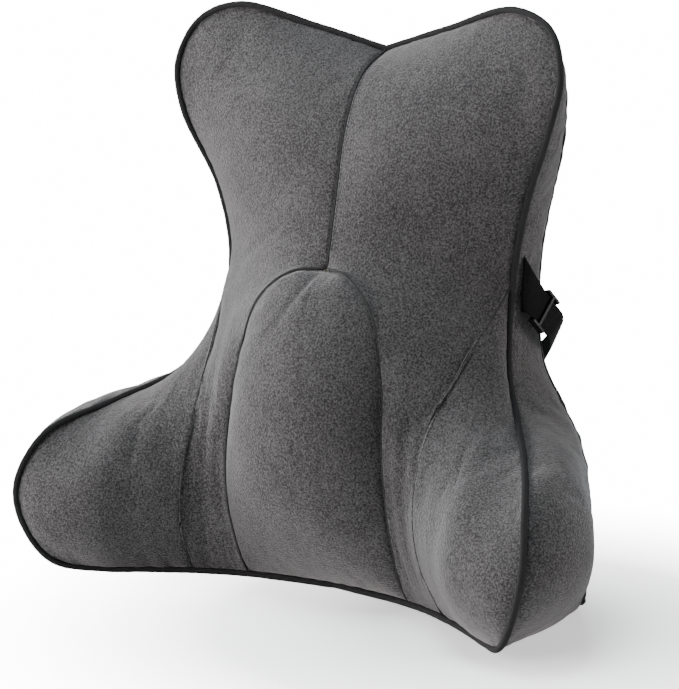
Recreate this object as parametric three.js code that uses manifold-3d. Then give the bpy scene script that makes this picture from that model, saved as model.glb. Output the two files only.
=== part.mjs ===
// Lumbar support cushion: a butterfly-shaped foam block in a fitted, zipped fabric cover, with a webbing
// strap and a side-release buckle behind it. Millimetres, +Z up, the side that the back leans on faces -Y,
// +X is to the right as seen from the front. The origin lies under the middle of the whole part's box.
import * as THREE from 'three';
import Module from 'manifold-3d';
import { mergeVertices } from 'three/addons/utils/BufferGeometryUtils.js';

const wasm = await Module();
wasm.setup();

// ---- Driving dimensions of the cushion ----
const EAR_HALF_WIDTH = 168; // the two upper lobes
const WAIST_HALF_WIDTH = 126; // the narrow part that the strap is sewn to
const WING_HALF_WIDTH = 221; // the two lower wings
const EAR_TOP_HEIGHT = 427;
const NOTCH_HEIGHT = 396; // the dip between the lobes
const WAIST_HEIGHT = 238;
const WING_TOP_HEIGHT = 105;
const WING_TIP_HEIGHT = 62;
const WING_HEEL_HEIGHT = 14;
const NOTCH_SETBACK = 44; // Y of the piping at the notch
const WAIST_SETBACK = 19; // Y of the piping at the waist
const EAR_REACH = 6; // Y of the piping at the sides of the lobes
const WING_REACH = 127; // how far the wings' piping comes forward of Y = 0
const PAD_HALF_WIDTH = 72; // the raised middle pad
const PAD_TOP_HEIGHT = 241;
const PAD_SETBACK = -33; // Y of the pad's top seam
const BACK_SETBACK = 68; // Y of the flat middle of the rear face
const BACK_FLAT_HALF = 70; // half width of that flat middle
const BACK_SWEEP = 112; // how far the rear face comes forward at the wings
const REAR_NARROWING = 0.965; // the rear outline is this much narrower than the front one
const REAR_TOP_DROP = 13; // and this much lower over the lobes
const REAR_TOP_CURL = 9; // where it also comes forward
const REAR_CURL_START = 0.56; // from this share of the way from the waist to the top
const EAR_CURL = 40; // and further forward towards the lobes' sides
const EAR_CURL_START = 0.2; // growing between these shares of the same way
const EAR_CURL_END = 0.7;
const EDGE_LIFT = 3; // height of the lower seams over the floor

// How far the cover swells between its seams
const LOBE_PUFF = 17;
const FLANK_PUFF = 6; // beside the pad
const PAD_PUFF = 36;
const WING_PUFF = 27;

// ---- Cover, welt and filling ----
const FABRIC_THICKNESS = 1;
const WELT_RADIUS = 2.4;
const WELT_CLEARANCE = 2.3;
const SEAM_GAP = 0.4; // from each sewn edge to the seam line
const REAR_EDGE_GAP = 1.7; // the back panels' edges stop short of the side strips' wall
const CORE_CLEARANCE = 4.2; // from the cover's outer face to the foam

// ---- Zip down the middle of the back ----
const ZIP_BOTTOM_HEIGHT = 50;
const ZIP_LENGTH = 290;
const MOUTH_MARGIN = 30; // the gap reaches at most this far past the ends of the teeth
const TAPE_WIDTH = 14;
const TAPE_THICKNESS = 0.6;
const TOOTH_PITCH = 8;
const TOOTH_HEIGHT = 2;
const TOOTH_TIP = 0.8; // from the middle to the tips of the teeth
const TOOTH_ROOT = 3.4;
const SPINE_WIDTH = 1.2; // of the strip that the teeth of a row stand on
const TOOTH_FOOT = [0.25, 0.75]; // each tooth's root, as shares of the pitch
const TOOTH_END = [0.3, 0.7]; // and its tip
const ZIP_GAP = 0.4; // running clearance round the slider
const SLIDER_LENGTH = 12;
const SLIDER_SIDE_CLEARANCE = 0.6; // from the roots of the teeth to the flanges
const FLANGE = 0.9;
const SLIDER_HALF_WIDTH = TOOTH_ROOT + SLIDER_SIDE_CLEARANCE + FLANGE;
const MOUTH_CLEARANCE = 0.7;
const ZIP_MOUTH_HALF = SLIDER_HALF_WIDTH + MOUTH_CLEARANCE; // half of the gap between the back panels
const SLIDER_PLATE = 1.1;
const BRIDGE_WIDTH = 2.4;
const BRIDGE_HEIGHT = 3.4;
const BRIDGE_LENGTH = 7;
const BRIDGE_CAP = 1; // thickness of the bridge over its eye
const BRIDGE_POST = 1.2; // and before and behind the eye
const DIVIDER_LENGTH = 4;
const OVERLAP = 0.5; // between pieces that are joined into one
const PULL_LENGTH = 24;
const PULL_WIDTH = 7.5;
const PULL_THICKNESS = 1.4;
const PULL_EYE_CLEARANCE = 0.6; // beside the bridge
const PULL_TOP_CLEARANCE = 0.35;
const STOP_LENGTH = 4;

// ---- Strap, adjusters and buckle ----
const STRAP_WIDTH = 25;
const STRAP_THICKNESS = 1.4;
const STRAP_CLEARANCE = 0.4;
const STRAP_SEAM_LENGTH = 40; // of the slanted end that is sewn into the side seam
const STRAP_SEAM_HEIGHT = 234;
const STRAP_SEAM_OFFSET = 4.6; // out from the waist's piping
const STRAP_SEAM_SETBACK = 3; // and behind it
const STRAP_CORNER = [[-4, 9, -7], [-14, 23, -13]]; // steps of the turn round the rear edge, [x, y, z]
const STRAP_RUN_IN = [34, 12]; // where the strap lies flat before the buckle bar
const STRAP_TAIL = [11, 26]; // the folded-back end, from the bar
const STRAP_TAIL_GAP = 1.1;
const LOOP_CLEARANCE = 1.5; // from the buckle bar to the middle of the webbing round it
const ADJUSTER_LENGTH = 14;
const ADJUSTER_PLACE = 29; // along the strap, from its sewn end
const ADJUSTER_TRAVEL = 6; // down the straight stretch of webbing
const ADJUSTER_BAR = 2.8;
const ADJUSTER_PLATE = 1.5;
const ADJUSTER_RAIL = 2.4;
const BUCKLE_BACK_GAP = 28; // from the rear face to the middle of the buckle
const BUCKLE_HEIGHT = 130;
const BUCKLE_THICKNESS = 11;
const BUCKLE_WALL = 4;
const SOCKET_LENGTH = 26;
const SOCKET_END = 3; // behind the pocket
const SOCKET_SKIN = 2.6; // over and under the pocket
const POCKET_DEPTH = SOCKET_LENGTH - SOCKET_END;
const POCKET_THICKNESS = BUCKLE_THICKNESS - 2 * SOCKET_SKIN;
const PLUG_CLEARANCE = 0.4;
const LOOP_BAR = 3;
const LOOP_BAR_THICKNESS = 2.6;
const LOOP_SLOT = 8;
const PLUG_FLANGE = 5;
const MOUTH_X = 8; // the socket's open end
const SOCKET_MARGIN = 0.6; // beside the webbing, inside the socket's walls
const FLANGE_GAP = 0.5; // between the closed halves
const WINDOW = [0.3, 0.7]; // of the socket's length, from its mouth
const PRONG_WIDTH = 4.4;
const PRONG_END_GAP = 1.5; // from the prongs to the end of the pocket
const SIDE_PRONG_SETBACK = 3; // the outer prongs are this much shorter

const vec = (x, y, z) => new THREE.Vector3(x, y, z);
const mix = THREE.MathUtils.lerp;
const smooth = THREE.MathUtils.smoothstep;

// ---- Outlines, right half ----
// A smooth curve through landmarks, and an evenly stepped stretch of it between two of them.
const curveThrough = (landmarks) => new THREE.CatmullRomCurve3(landmarks, false, 'centripetal');

function stretch(curve, from, to, steps) {
  const last = curve.points.length - 1;
  const fine = 40 * (to - from);
  const line = [];
  for (let i = 0; i <= fine; i++) {
    line.push(curve.getPoint(mix(from, to, i / fine) / last));
  }
  const travelled = [0];
  for (let i = 1; i <= fine; i++) {
    travelled.push(travelled[i - 1] + line[i].distanceTo(line[i - 1]));
  }
  const picked = [];
  let at = 0;
  for (let i = 0; i <= steps; i++) {
    const goal = (travelled[fine] * i) / steps;
    while (at < fine - 1 && travelled[at + 1] < goal) at++;
    const share = (goal - travelled[at]) / (travelled[at + 1] - travelled[at]);
    picked.push(line[at].clone().lerp(line[at + 1], Math.min(share, 1)));
  }
  return picked;
}

const earToWaist = (share) => mix(EAR_HALF_WIDTH, WAIST_HALF_WIDTH, share);
const waistToWing = (share) => mix(WAIST_HALF_WIDTH, WING_HALF_WIDTH, share);
const waistToTop = (share) => mix(WAIST_HEIGHT, EAR_TOP_HEIGHT, share);
const wingToWaist = (share) => mix(WING_TOP_HEIGHT, WAIST_HEIGHT, share);
const notchToEar = (share) => mix(NOTCH_SETBACK, EAR_REACH, share);
const waistToReach = (share) => mix(WAIST_SETBACK, -WING_REACH, share);

// Landmarks of the front seam, from the notch over the lobe, the waist and the wing to the base's middle
const NOTCH = 0;
const LOBE_CORNER = 3;
const WAIST = 7;
const WING_CORNER = 11;
const HEEL = 13;
const WING_FOOT = 15;
const PAD_FOOT = 16;
const BASE_MIDDLE = 17;
const frontOutline = curveThrough([
  vec(0, NOTCH_SETBACK, NOTCH_HEIGHT),
  vec(0.35 * EAR_HALF_WIDTH, notchToEar(0.21), mix(NOTCH_HEIGHT, EAR_TOP_HEIGHT, 0.52)),
  vec(0.72 * EAR_HALF_WIDTH, notchToEar(0.55), EAR_TOP_HEIGHT),
  vec(0.92 * EAR_HALF_WIDTH, notchToEar(0.72), waistToTop(0.93)),
  vec(EAR_HALF_WIDTH, EAR_REACH + 2, waistToTop(0.76)),
  vec(earToWaist(0.17), EAR_REACH, waistToTop(0.57)),
  vec(earToWaist(0.74), mix(EAR_REACH, WAIST_SETBACK, 0.85), waistToTop(0.28)),
  vec(WAIST_HALF_WIDTH, WAIST_SETBACK, WAIST_HEIGHT),
  vec(waistToWing(0.04), waistToReach(0.08), wingToWaist(0.53)),
  vec(waistToWing(0.27), waistToReach(0.25), wingToWaist(0.32)),
  vec(waistToWing(0.59), waistToReach(0.53), wingToWaist(0.17)),
  vec(waistToWing(0.9), waistToReach(0.86), WING_TOP_HEIGHT),
  vec(WING_HALF_WIDTH, -WING_REACH, WING_TIP_HEIGHT),
  vec(waistToWing(0.78), waistToReach(0.92), WING_HEEL_HEIGHT),
  vec(waistToWing(0.41), waistToReach(0.7), EDGE_LIFT),
  vec(PAD_HALF_WIDTH + 40, waistToReach(0.47), EDGE_LIFT),
  vec(PAD_HALF_WIDTH, waistToReach(0.36), EDGE_LIFT),
  vec(0, waistToReach(0.28), EDGE_LIFT),
]);
const at = (landmark) => frontOutline.points[landmark];

// Seams across the front: down the middle to the pad, round the pad, and from the waist round each wing
const padTop = vec(0, PAD_SETBACK, PAD_TOP_HEIGHT);
const middleSeam = curveThrough([
  at(NOTCH),
  vec(0, mix(NOTCH_SETBACK, PAD_SETBACK, 0.42), mix(NOTCH_HEIGHT, PAD_TOP_HEIGHT, 0.11)),
  vec(0, mix(NOTCH_SETBACK, PAD_SETBACK, 0.69), mix(NOTCH_HEIGHT, PAD_TOP_HEIGHT, 0.33)),
  vec(0, mix(NOTCH_SETBACK, PAD_SETBACK, 0.86), mix(NOTCH_HEIGHT, PAD_TOP_HEIGHT, 0.68)),
  padTop,
]);
const PAD_SHOULDER = 2;
const padSeam = curveThrough([
  padTop,
  vec(0.34 * PAD_HALF_WIDTH, PAD_SETBACK - 11, 0.99 * PAD_TOP_HEIGHT),
  vec(0.69 * PAD_HALF_WIDTH, PAD_SETBACK - 18, 0.9 * PAD_TOP_HEIGHT),
  vec(0.88 * PAD_HALF_WIDTH, PAD_SETBACK - 23, 0.71 * PAD_TOP_HEIGHT),
  vec(0.96 * PAD_HALF_WIDTH, PAD_SETBACK - 31, 0.47 * PAD_TOP_HEIGHT),
  vec(PAD_HALF_WIDTH, PAD_SETBACK - 27, 0.27 * PAD_TOP_HEIGHT),
  vec(PAD_HALF_WIDTH, PAD_SETBACK - 11, 0.08 * PAD_TOP_HEIGHT),
  at(PAD_FOOT),
]);
const wingSeam = curveThrough([
  at(WAIST),
  vec(PAD_HALF_WIDTH + 35, waistToReach(0.25), 0.75 * WAIST_HEIGHT),
  vec(PAD_HALF_WIDTH + 29, waistToReach(0.54), 0.55 * WAIST_HEIGHT),
  vec(PAD_HALF_WIDTH + 27, waistToReach(0.67), 0.36 * WAIST_HEIGHT),
  vec(PAD_HALF_WIDTH + 30, waistToReach(0.65), 0.18 * WAIST_HEIGHT),
  at(WING_FOOT),
]);

// Steps along each stretch; seams that meet have the same count
const LOBE_STEPS = 6;
const SIDE_STEPS = 8;
const SHOULDER_STEPS = 3;
const FLANK_STEPS = 7;
const WING_STEPS = 6;
const SEAM_STEPS = SHOULDER_STEPS + FLANK_STEPS;

const OUTLINE_STRETCHES = [
  [NOTCH, LOBE_CORNER, LOBE_STEPS],
  [LOBE_CORNER, WAIST, SIDE_STEPS],
  [WAIST, WING_CORNER, WING_STEPS],
  [WING_CORNER, HEEL, SEAM_STEPS],
  [HEEL, WING_FOOT, WING_STEPS],
  [WING_FOOT, PAD_FOOT, LOBE_STEPS],
  [PAD_FOOT, BASE_MIDDLE, SHOULDER_STEPS],
];
const offTheFloor = (p) => p.setZ(Math.max(p.z, EDGE_LIFT));
const frontStretches = OUTLINE_STRETCHES.map(([from, to, steps]) =>
  stretch(frontOutline, from, to, steps).map(offTheFloor),
);

// The rear face is flat in the middle, sweeps forward behind the wings and curls forward over its top.
const topShare = (z) => smooth(z, waistToTop(REAR_CURL_START), EAR_TOP_HEIGHT);
function rearY(x, z) {
  const beyond = Math.max(0, Math.abs(x) - BACK_FLAT_HALF) / (WING_HALF_WIDTH - BACK_FLAT_HALF);
  const lobe = smooth(z, waistToTop(EAR_CURL_START), waistToTop(EAR_CURL_END));
  const curl = REAR_TOP_CURL * topShare(z) + EAR_CURL * lobe * beyond ** 2;
  return BACK_SETBACK - BACK_SWEEP * beyond ** 3 - curl;
}
function toRear(p) {
  const x = p.x * REAR_NARROWING;
  const z = p.z - REAR_TOP_DROP * topShare(p.z);
  return vec(x, rearY(x, z), z);
}
const rearStretches = frontStretches.map((points) => points.map(toRear));

// ---- Patches ----
// A Coons patch: rows run from the top edge to the bottom edge, columns from the left edge to the right.
function coons(top, bottom, left, right) {
  const rows = left.length - 1;
  const columns = top.length - 1;
  const blend = (a, b, t) => a.clone().lerp(b, t);
  return left.map((start, r) => {
    const v = r / rows;
    return top.map((above, c) => {
      const u = c / columns;
      const corners = blend(blend(top[0], top[columns], u), blend(bottom[0], bottom[columns], u), v);
      return blend(above, bottom[c], v).add(blend(start, right[r], u)).sub(corners);
    });
  });
}

const reversed = (points) => [...points].reverse();

// Outward direction at each point of a grid, from its neighbours (down x right).
function gridNormals(grid) {
  const clamp = (i, n) => Math.min(Math.max(i, 0), n - 1);
  return grid.map((row, r) =>
    row.map((p, c) => {
      const down = grid[clamp(r + 1, grid.length)][c].clone().sub(grid[clamp(r - 1, grid.length)][c]);
      const right = row[clamp(c + 1, row.length)].clone().sub(row[clamp(c - 1, row.length)]);
      const normal = down.cross(right);
      if (Math.abs(p.x) < 1e-6) normal.x = 0;
      return normal.normalize();
    }),
  );
}

// Moves a grid's points outwards by height(v, u), with v down the rows and u across the columns.
function puffed(grid, height) {
  const normals = gridNormals(grid);
  return grid.map((row, r) =>
    row.map((p, c) => {
      const rise = height(r / (grid.length - 1), c / (row.length - 1));
      return p.clone().addScaledVector(normals[r][c], rise);
    }),
  );
}
const FULLNESS = 0.65; // below 1, a swelling is flat on top and steep beside its seams
const arch = (t) => Math.max(0, Math.sin(Math.PI * t)) ** FULLNESS;

const [lobeTop, lobeSide, wingTop, wingTip, wingHeel, footGap, padBase] = frontStretches;
const padCrown = stretch(
  curveThrough([padTop, vec(0, PAD_SETBACK - 22, PAD_TOP_HEIGHT / 2), at(BASE_MIDDLE)]),
  0, 2, FLANK_STEPS,
);
const middleLine = stretch(middleSeam, 0, 4, SIDE_STEPS);
const padShoulder = stretch(padSeam, 0, PAD_SHOULDER, SHOULDER_STEPS);
const padFlank = stretch(padSeam, PAD_SHOULDER, 7, FLANK_STEPS);
const padLine = [...padShoulder, ...padFlank.slice(1)];
const wingLine = stretch(wingSeam, 0, 5, SEAM_STEPS);

const joined = (upper, lower) => [...upper, ...lower.slice(1)];
const innerEdge = joined(middleLine, padLine);
const outerEdge = joined(lobeSide, wingLine);

// The side panel swells most over the lobe and least beside the pad.
function sideRise(v, u) {
  const most = mix(LOBE_PUFF, FLANK_PUFF, smooth(v, 0.25, 0.5));
  return most * arch(u) * Math.min(1, 1.25 * arch(v));
}
const sidePanel = puffed(coons(lobeTop, reversed(footGap), innerEdge, outerEdge), sideRise);

const wingRise = (v, u) => WING_PUFF * arch(u) * Math.sin(Math.PI * v);
const wingPanel = puffed(coons(wingTop, reversed(wingHeel), wingLine, wingTip), wingRise);

// The pad is highest along its middle and rises at once below its top seam.
const PAD_START = 0.04;
function padRise(v, u) {
  if (v === 0) return 0;
  const down = Math.min(1, 1.1 * arch(mix(PAD_START, 1, v)));
  return PAD_PUFF * Math.cos((u * Math.PI) / 2) ** 0.6 * down;
}
const padPanel = puffed(coons(padShoulder, reversed(padBase), padCrown, padFlank), padRise);

// The rear face repeats the front's grid of seams, so the two meet step for step at the side strips.
const carried = (points) => points.map(toRear);
const onRear = (grid) => grid.map((row) => row.map((p) => vec(p.x, rearY(p.x, p.z), p.z)));
const [rearTop, rearOuter, rearWingTop, rearTip, rearHeel, rearFoot, rearPadBase] = rearStretches;
const rearWingLine = carried(wingLine);
const rearSide = onRear(
  coons(rearTop, reversed(rearFoot), carried(innerEdge), joined(rearOuter, rearWingLine)),
);
const rearWing = onRear(coons(rearWingTop, reversed(rearHeel), rearWingLine, rearTip));
const rearPad = onRear(
  coons(carried(padShoulder), reversed(rearPadBase), carried(padCrown), carried(padFlank)),
);

// The side strip: three cells from the front seam to the rear seam. It bulges beside the wings and lies
// flat on the floor under the cushion.
const FLOOR_MARGIN = 0.15; // of the strip's width, from each seam down to the floor
const BULGE_AT_LANDMARK = [0, 1, 1, 2, 3, 4, 4, 5, 4, 5, 8, 17, 23, 2, 0, 0, 0, 0];
const wholeFront = frontStretches.flatMap((points, k) => (k ? points.slice(1) : points));
const wholePlaces = OUTLINE_STRETCHES.flatMap(([from, to, steps], k) =>
  Array.from({ length: steps + 1 }, (_, i) => mix(from, to, i / steps)).slice(k ? 1 : 0),
);
const wholeStrip = wholeFront.map((front, i) => {
  const rear = toRear(front);
  const place = wholePlaces[i];
  const low = Math.floor(Math.min(place, BASE_MIDDLE - 1));
  const bulge = mix(BULGE_AT_LANDMARK[low], BULGE_AT_LANDMARK[low + 1], place - low);
  const flat = smooth(place, HEEL, WING_FOOT);
  const next = wholeFront[Math.min(i + 1, wholeFront.length - 1)];
  const previous = wholeFront[Math.max(i - 1, 0)];
  const outwards = next.clone().sub(previous).cross(rear.clone().sub(front)).normalize();
  if (Math.abs(front.x) < 1e-6) outwards.setX(0).normalize();
  const inner = mix(1 / 3, FLOOR_MARGIN, flat);
  return [0, inner, 1 - inner, 1].map((across, column) => {
    const p = front.clone().lerp(rear, across);
    const between = column === 1 || column === 2;
    if (between) p.addScaledVector(outwards, bulge).setZ(Math.max(0, mix(p.z, 0, flat)));
    return p;
  });
});
function sideStrip(stretchIndex) {
  const before = OUTLINE_STRETCHES.slice(0, stretchIndex).reduce((sum, [, , steps]) => sum + steps, 0);
  return wholeStrip.slice(before, before + OUTLINE_STRETCHES[stretchIndex][2] + 1);
}

// ---- Surfaces made of welded patches ----
class Surface {
  constructor() {
    this.points = [];
    this.triangles = [];
    this.index = new Map();
  }

  vertex(p) {
    const key = [p.x, p.y, p.z].map((value) => Math.round(value * 1000)).join();
    if (!this.index.has(key)) {
      this.index.set(key, this.points.length);
      this.points.push(p.clone());
    }
    return this.index.get(key);
  }

  triangle(a, b, c) {
    if (a !== b && b !== c && c !== a) this.triangles.push([a, b, c]);
  }

  // Adds a grid whose faces look along down x right, or the other way when turned.
  grid(rows, turned = false) {
    const ids = rows.map((row) => row.map((p) => this.vertex(p)));
    for (let r = 0; r + 1 < ids.length; r++) {
      for (let c = 0; c + 1 < ids[r].length; c++) {
        const [a, b, d, e] = [ids[r][c], ids[r + 1][c], ids[r][c + 1], ids[r + 1][c + 1]];
        const cell = [[a, b, e], [a, e, d]];
        cell.forEach(([i, j, k]) => (turned ? this.triangle(i, k, j) : this.triangle(i, j, k)));
      }
    }
    return this;
  }

  // Adds the same grid on the other half of the cushion.
  mirrored(rows, turned = false) {
    return this.grid(rows.map((row) => row.map((p) => vec(-p.x, p.y, p.z))), !turned);
  }

  normals() {
    const sums = this.points.map(() => vec(0, 0, 0));
    for (const ids of this.triangles) {
      const [a, b, c] = ids.map((i) => this.points[i]);
      const area = b.clone().sub(a).cross(c.clone().sub(a));
      ids.forEach((i) => sums[i].add(area));
    }
    return sums.map((n) => n.normalize());
  }

  // Directed edges that only one triangle has.
  edges() {
    const seen = new Map();
    for (const [a, b, c] of this.triangles) {
      [[a, b], [b, c], [c, a]].forEach(([from, to]) => seen.set(`${from},${to}`, [from, to]));
    }
    return [...seen.values()].filter(([from, to]) => !seen.has(`${to},${from}`));
  }

  geometry() {
    const made = new THREE.BufferGeometry();
    const numbers = this.points.flatMap((p) => p.toArray());
    made.setAttribute('position', new THREE.Float32BufferAttribute(numbers, 3));
    made.setIndex(this.triangles.flat());
    made.computeVertexNormals();
    return made;
  }
}

// A sewn panel: the surface with its edges drawn back from the seams by inset(a, b), and a wall inwards.
function sewnPanel(surface, inset) {
  const normals = surface.normals();
  const edges = surface.edges();
  const pulls = new Map();
  for (const [from, to] of edges) {
    const [a, b] = [surface.points[from], surface.points[to]];
    for (const id of [from, to]) {
      const inwards = normals[id].clone().cross(b.clone().sub(a)).normalize();
      if (!pulls.has(id)) pulls.set(id, []);
      pulls.get(id).push([inwards, inset(a, b)]);
    }
  }
  const moved = surface.points.map((p) => p.clone());
  for (const [id, [[one, oneGap], [two, twoGap]]] of pulls) {
    const turn = one.dot(two);
    if (turn > 0.97) {
      moved[id].addScaledVector(one.clone().add(two).normalize(), Math.max(oneGap, twoGap));
      continue;
    }
    const spread = Math.max(1 - turn * turn, 0.15);
    moved[id].addScaledVector(one, (oneGap - twoGap * turn) / spread);
    moved[id].addScaledVector(two, (twoGap - oneGap * turn) / spread);
  }
  const panel = new Surface();
  const count = moved.length;
  const inside = moved.map((p, i) => p.clone().addScaledVector(normals[i], -FABRIC_THICKNESS));
  panel.points = [...moved, ...inside];
  for (const [a, b, c] of surface.triangles) {
    panel.triangle(a, b, c);
    panel.triangle(a + count, c + count, b + count);
  }
  for (const [from, to] of edges) {
    panel.triangle(to, from, from + count);
    panel.triangle(to, from + count, to + count);
  }
  return panel.geometry();
}

// The foam: a closed surface whose points are drawn inwards until they lie at least depth behind the
// planes of all the faces that meet there.
const SETTLING_ROUNDS = 40;
function shrunk(surface, depth) {
  const faces = surface.points.map(() => []);
  for (const ids of surface.triangles) {
    const [a, b, c] = ids.map((i) => surface.points[i]);
    const face = b.clone().sub(a).cross(c.clone().sub(a)).normalize();
    ids.forEach((i) => faces[i].push(face));
  }
  surface.points.forEach((p, i) => {
    const move = vec(0, 0, 0);
    for (let round = 0; round < SETTLING_ROUNDS; round++) {
      for (const face of faces[i]) {
        const short = move.dot(face) + depth;
        if (short > 0) move.addScaledVector(face, -short);
      }
    }
    p.add(move);
  });
  return surface.geometry();
}

// ---- Solids ----
// A flat band through sections, each with a middle point and a half-width vector.
function band(sections, thickness) {
  const surface = new Surface();
  const rings = sections.map(({ middle, half }, i) => {
    const next = sections[Math.min(i + 1, sections.length - 1)].middle;
    const previous = sections[Math.max(i - 1, 0)].middle;
    const lift = next.clone().sub(previous).cross(half).setLength(thickness / 2);
    const corner = (side, face) => middle.clone().addScaledVector(half, side).addScaledVector(lift, face);
    return [corner(-1, -1), corner(-1, 1), corner(1, 1), corner(1, -1), corner(-1, -1)];
  });
  surface.grid(rings);
  const cap = (ring, turned) => {
    const [a, b, c, d] = ring.slice(0, 4).map((p) => surface.vertex(p));
    const halves = turned ? [[a, c, b], [a, d, c]] : [[a, b, c], [a, c, d]];
    halves.forEach((ids) => surface.triangle(...ids));
  };
  cap(rings[0], false);
  cap(rings[rings.length - 1], true);
  return surface.geometry();
}

// A round cord along a closed line of points.
function closedCord(line, radius, sides) {
  const rings = line.map((p, i) => {
    const next = line[(i + 1) % line.length];
    const previous = line[(i + line.length - 1) % line.length];
    const along = next.clone().sub(previous).normalize();
    const across = vec(0, 1, 0).cross(along).normalize();
    const third = along.clone().cross(across);
    const ring = [];
    for (let k = 0; k <= sides; k++) {
      const angle = (2 * Math.PI * (k % sides)) / sides;
      const sideways = p.clone().addScaledVector(across, radius * Math.cos(angle));
      ring.push(sideways.addScaledVector(third, radius * Math.sin(angle)));
    }
    return ring;
  });
  return new Surface().grid([...rings, rings[0]], true).geometry();
}

const box = ([x0, x1], [y0, y1], [z0, z1]) =>
  new THREE.BoxGeometry(x1 - x0, y1 - y0, z1 - z0).translate((x0 + x1) / 2, (y0 + y1) / 2, (z0 + z1) / 2);

function solid(geometry) {
  const bare = geometry.clone();
  bare.deleteAttribute('normal');
  bare.deleteAttribute('uv');
  const merged = mergeVertices(bare, 1e-4);
  return new wasm.Manifold(
    new wasm.Mesh({
      numProp: 3,
      vertProperties: new Float32Array(merged.getAttribute('position').array),
      triVerts: new Uint32Array(merged.index.array),
    }),
  );
}

// Joins boxes and takes others away.
function boxwork(joined, cut = []) {
  let whole = solid(joined[0]);
  joined.slice(1).forEach((piece) => (whole = whole.add(solid(piece))));
  cut.forEach((piece) => (whole = whole.subtract(solid(piece))));
  const mesh = whole.getMesh();
  const made = new THREE.BufferGeometry();
  made.setAttribute('position', new THREE.Float32BufferAttribute(mesh.vertProperties, 3));
  made.setIndex([...mesh.triVerts]);
  made.computeVertexNormals();
  return made;
}

const cushion = new THREE.Group();
const finish = {
  velvet: { color: 0x636162, roughness: 0.95, metalness: 0 },
  piping: { color: 0x2b2b2d, roughness: 0.9, metalness: 0 },
  foam: { color: 0xe8dfc6, roughness: 1, metalness: 0 },
  tape: { color: 0x2a2a2c, roughness: 0.9, metalness: 0 },
  coil: { color: 0x202022, roughness: 0.5, metalness: 0 },
  metal: { color: 0x3a3a3d, roughness: 0.35, metalness: 1 },
  webbing: { color: 0x101012, roughness: 0.85, metalness: 0 },
  plastic: { color: 0x0c0c0d, roughness: 0.4, metalness: 0 },
};
function add(name, geometry, look) {
  const mesh = new THREE.Mesh(geometry, new THREE.MeshStandardMaterial(finish[look]));
  mesh.name = name;
  cushion.add(mesh);
  return mesh;
}

// ---- Cover ----
const outlineKeys = new Set();
const outlineKey = (p) => [Math.abs(p.x), p.y, p.z].map((value) => Math.round(value * 100)).join();
frontStretches.flat().forEach((p) => outlineKeys.add(outlineKey(p)));
const rearKeys = new Set(rearStretches.flat().map(outlineKey));
const bothIn = (keys, a, b) => keys.has(outlineKey(a)) && keys.has(outlineKey(b));
const WELT_INSET = WELT_RADIUS + WELT_CLEARANCE;
const coverInset = (a, b) => (bothIn(outlineKeys, a, b) ? WELT_INSET : SEAM_GAP);

const half = { right: 'grid', left: 'mirrored' };
for (const [side, method] of Object.entries(half)) {
  add(`front_panel_${side}`, sewnPanel(new Surface()[method](sidePanel), coverInset), 'velvet');
  add(`wing_panel_${side}`, sewnPanel(new Surface()[method](wingPanel), coverInset), 'velvet');
}
add('lumbar_panel', sewnPanel(new Surface().grid(padPanel).mirrored(padPanel), coverInset), 'velvet');

const SIDE_STRETCHES = [0, 1, 2, 3, 4];
const BASE_STRETCHES = [5, 6];
for (const [side, method] of Object.entries(half)) {
  const strip = new Surface();
  SIDE_STRETCHES.forEach((k) => strip[method](sideStrip(k)));
  add(`side_strip_${side}`, sewnPanel(strip, coverInset), 'velvet');
}
const base = new Surface();
BASE_STRETCHES.forEach((k) => base.grid(sideStrip(k)).mirrored(sideStrip(k)));
add('base_strip', sewnPanel(base, coverInset), 'velvet');

const ZIP_TOP_HEIGHT = ZIP_BOTTOM_HEIGHT + ZIP_LENGTH;
const mouthFoot = ZIP_BOTTOM_HEIGHT - MOUTH_MARGIN;
const mouthHead = ZIP_TOP_HEIGHT + MOUTH_MARGIN;
function rearInset(a, b) {
  if (bothIn(rearKeys, a, b)) return REAR_EDGE_GAP;
  const beside = (p) => Math.abs(p.x) < 1e-6 && p.z > mouthFoot && p.z < mouthHead;
  return beside(a) && beside(b) ? ZIP_MOUTH_HALF : SEAM_GAP;
}
for (const [side, method] of Object.entries(half)) {
  const surface = new Surface();
  [rearSide, rearWing, rearPad].forEach((rows) => surface[method](rows, true));
  add(`back_panel_${side}`, sewnPanel(surface, rearInset), 'velvet');
}

const halfLoop = frontStretches.flatMap((points) => points.slice(0, -1));
const otherHalf = [...halfLoop.slice(1), at(BASE_MIDDLE)].reverse().map((p) => vec(-p.x, p.y, p.z));
add('piping', closedCord([...halfLoop, ...otherHalf], WELT_RADIUS, 6), 'piping');

// ---- Filling ----
const coreSkin = new Surface();
for (const method of Object.values(half)) {
  [sidePanel, wingPanel, padPanel].forEach((rows) => coreSkin[method](rows));
  OUTLINE_STRETCHES.forEach((_, k) => coreSkin[method](sideStrip(k)));
  [rearSide, rearWing, rearPad].forEach((rows) => coreSkin[method](rows, true));
}
add('foam_core', shrunk(coreSkin, CORE_CLEARANCE), 'foam');

// ---- Zip ----
const TOOTH_CLEARANCE = 0.3; // from the tapes to the teeth and from the cloth to the tapes
const tapeFace = BACK_SETBACK - FABRIC_THICKNESS - TOOTH_CLEARANCE;
const toothFace = tapeFace + TOOTH_CLEARANCE;
const toothTop = toothFace + TOOTH_HEIGHT;
const slideTop = toothTop + ZIP_GAP;
const slideBottom = tapeFace - TAPE_THICKNESS - ZIP_GAP;

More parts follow.
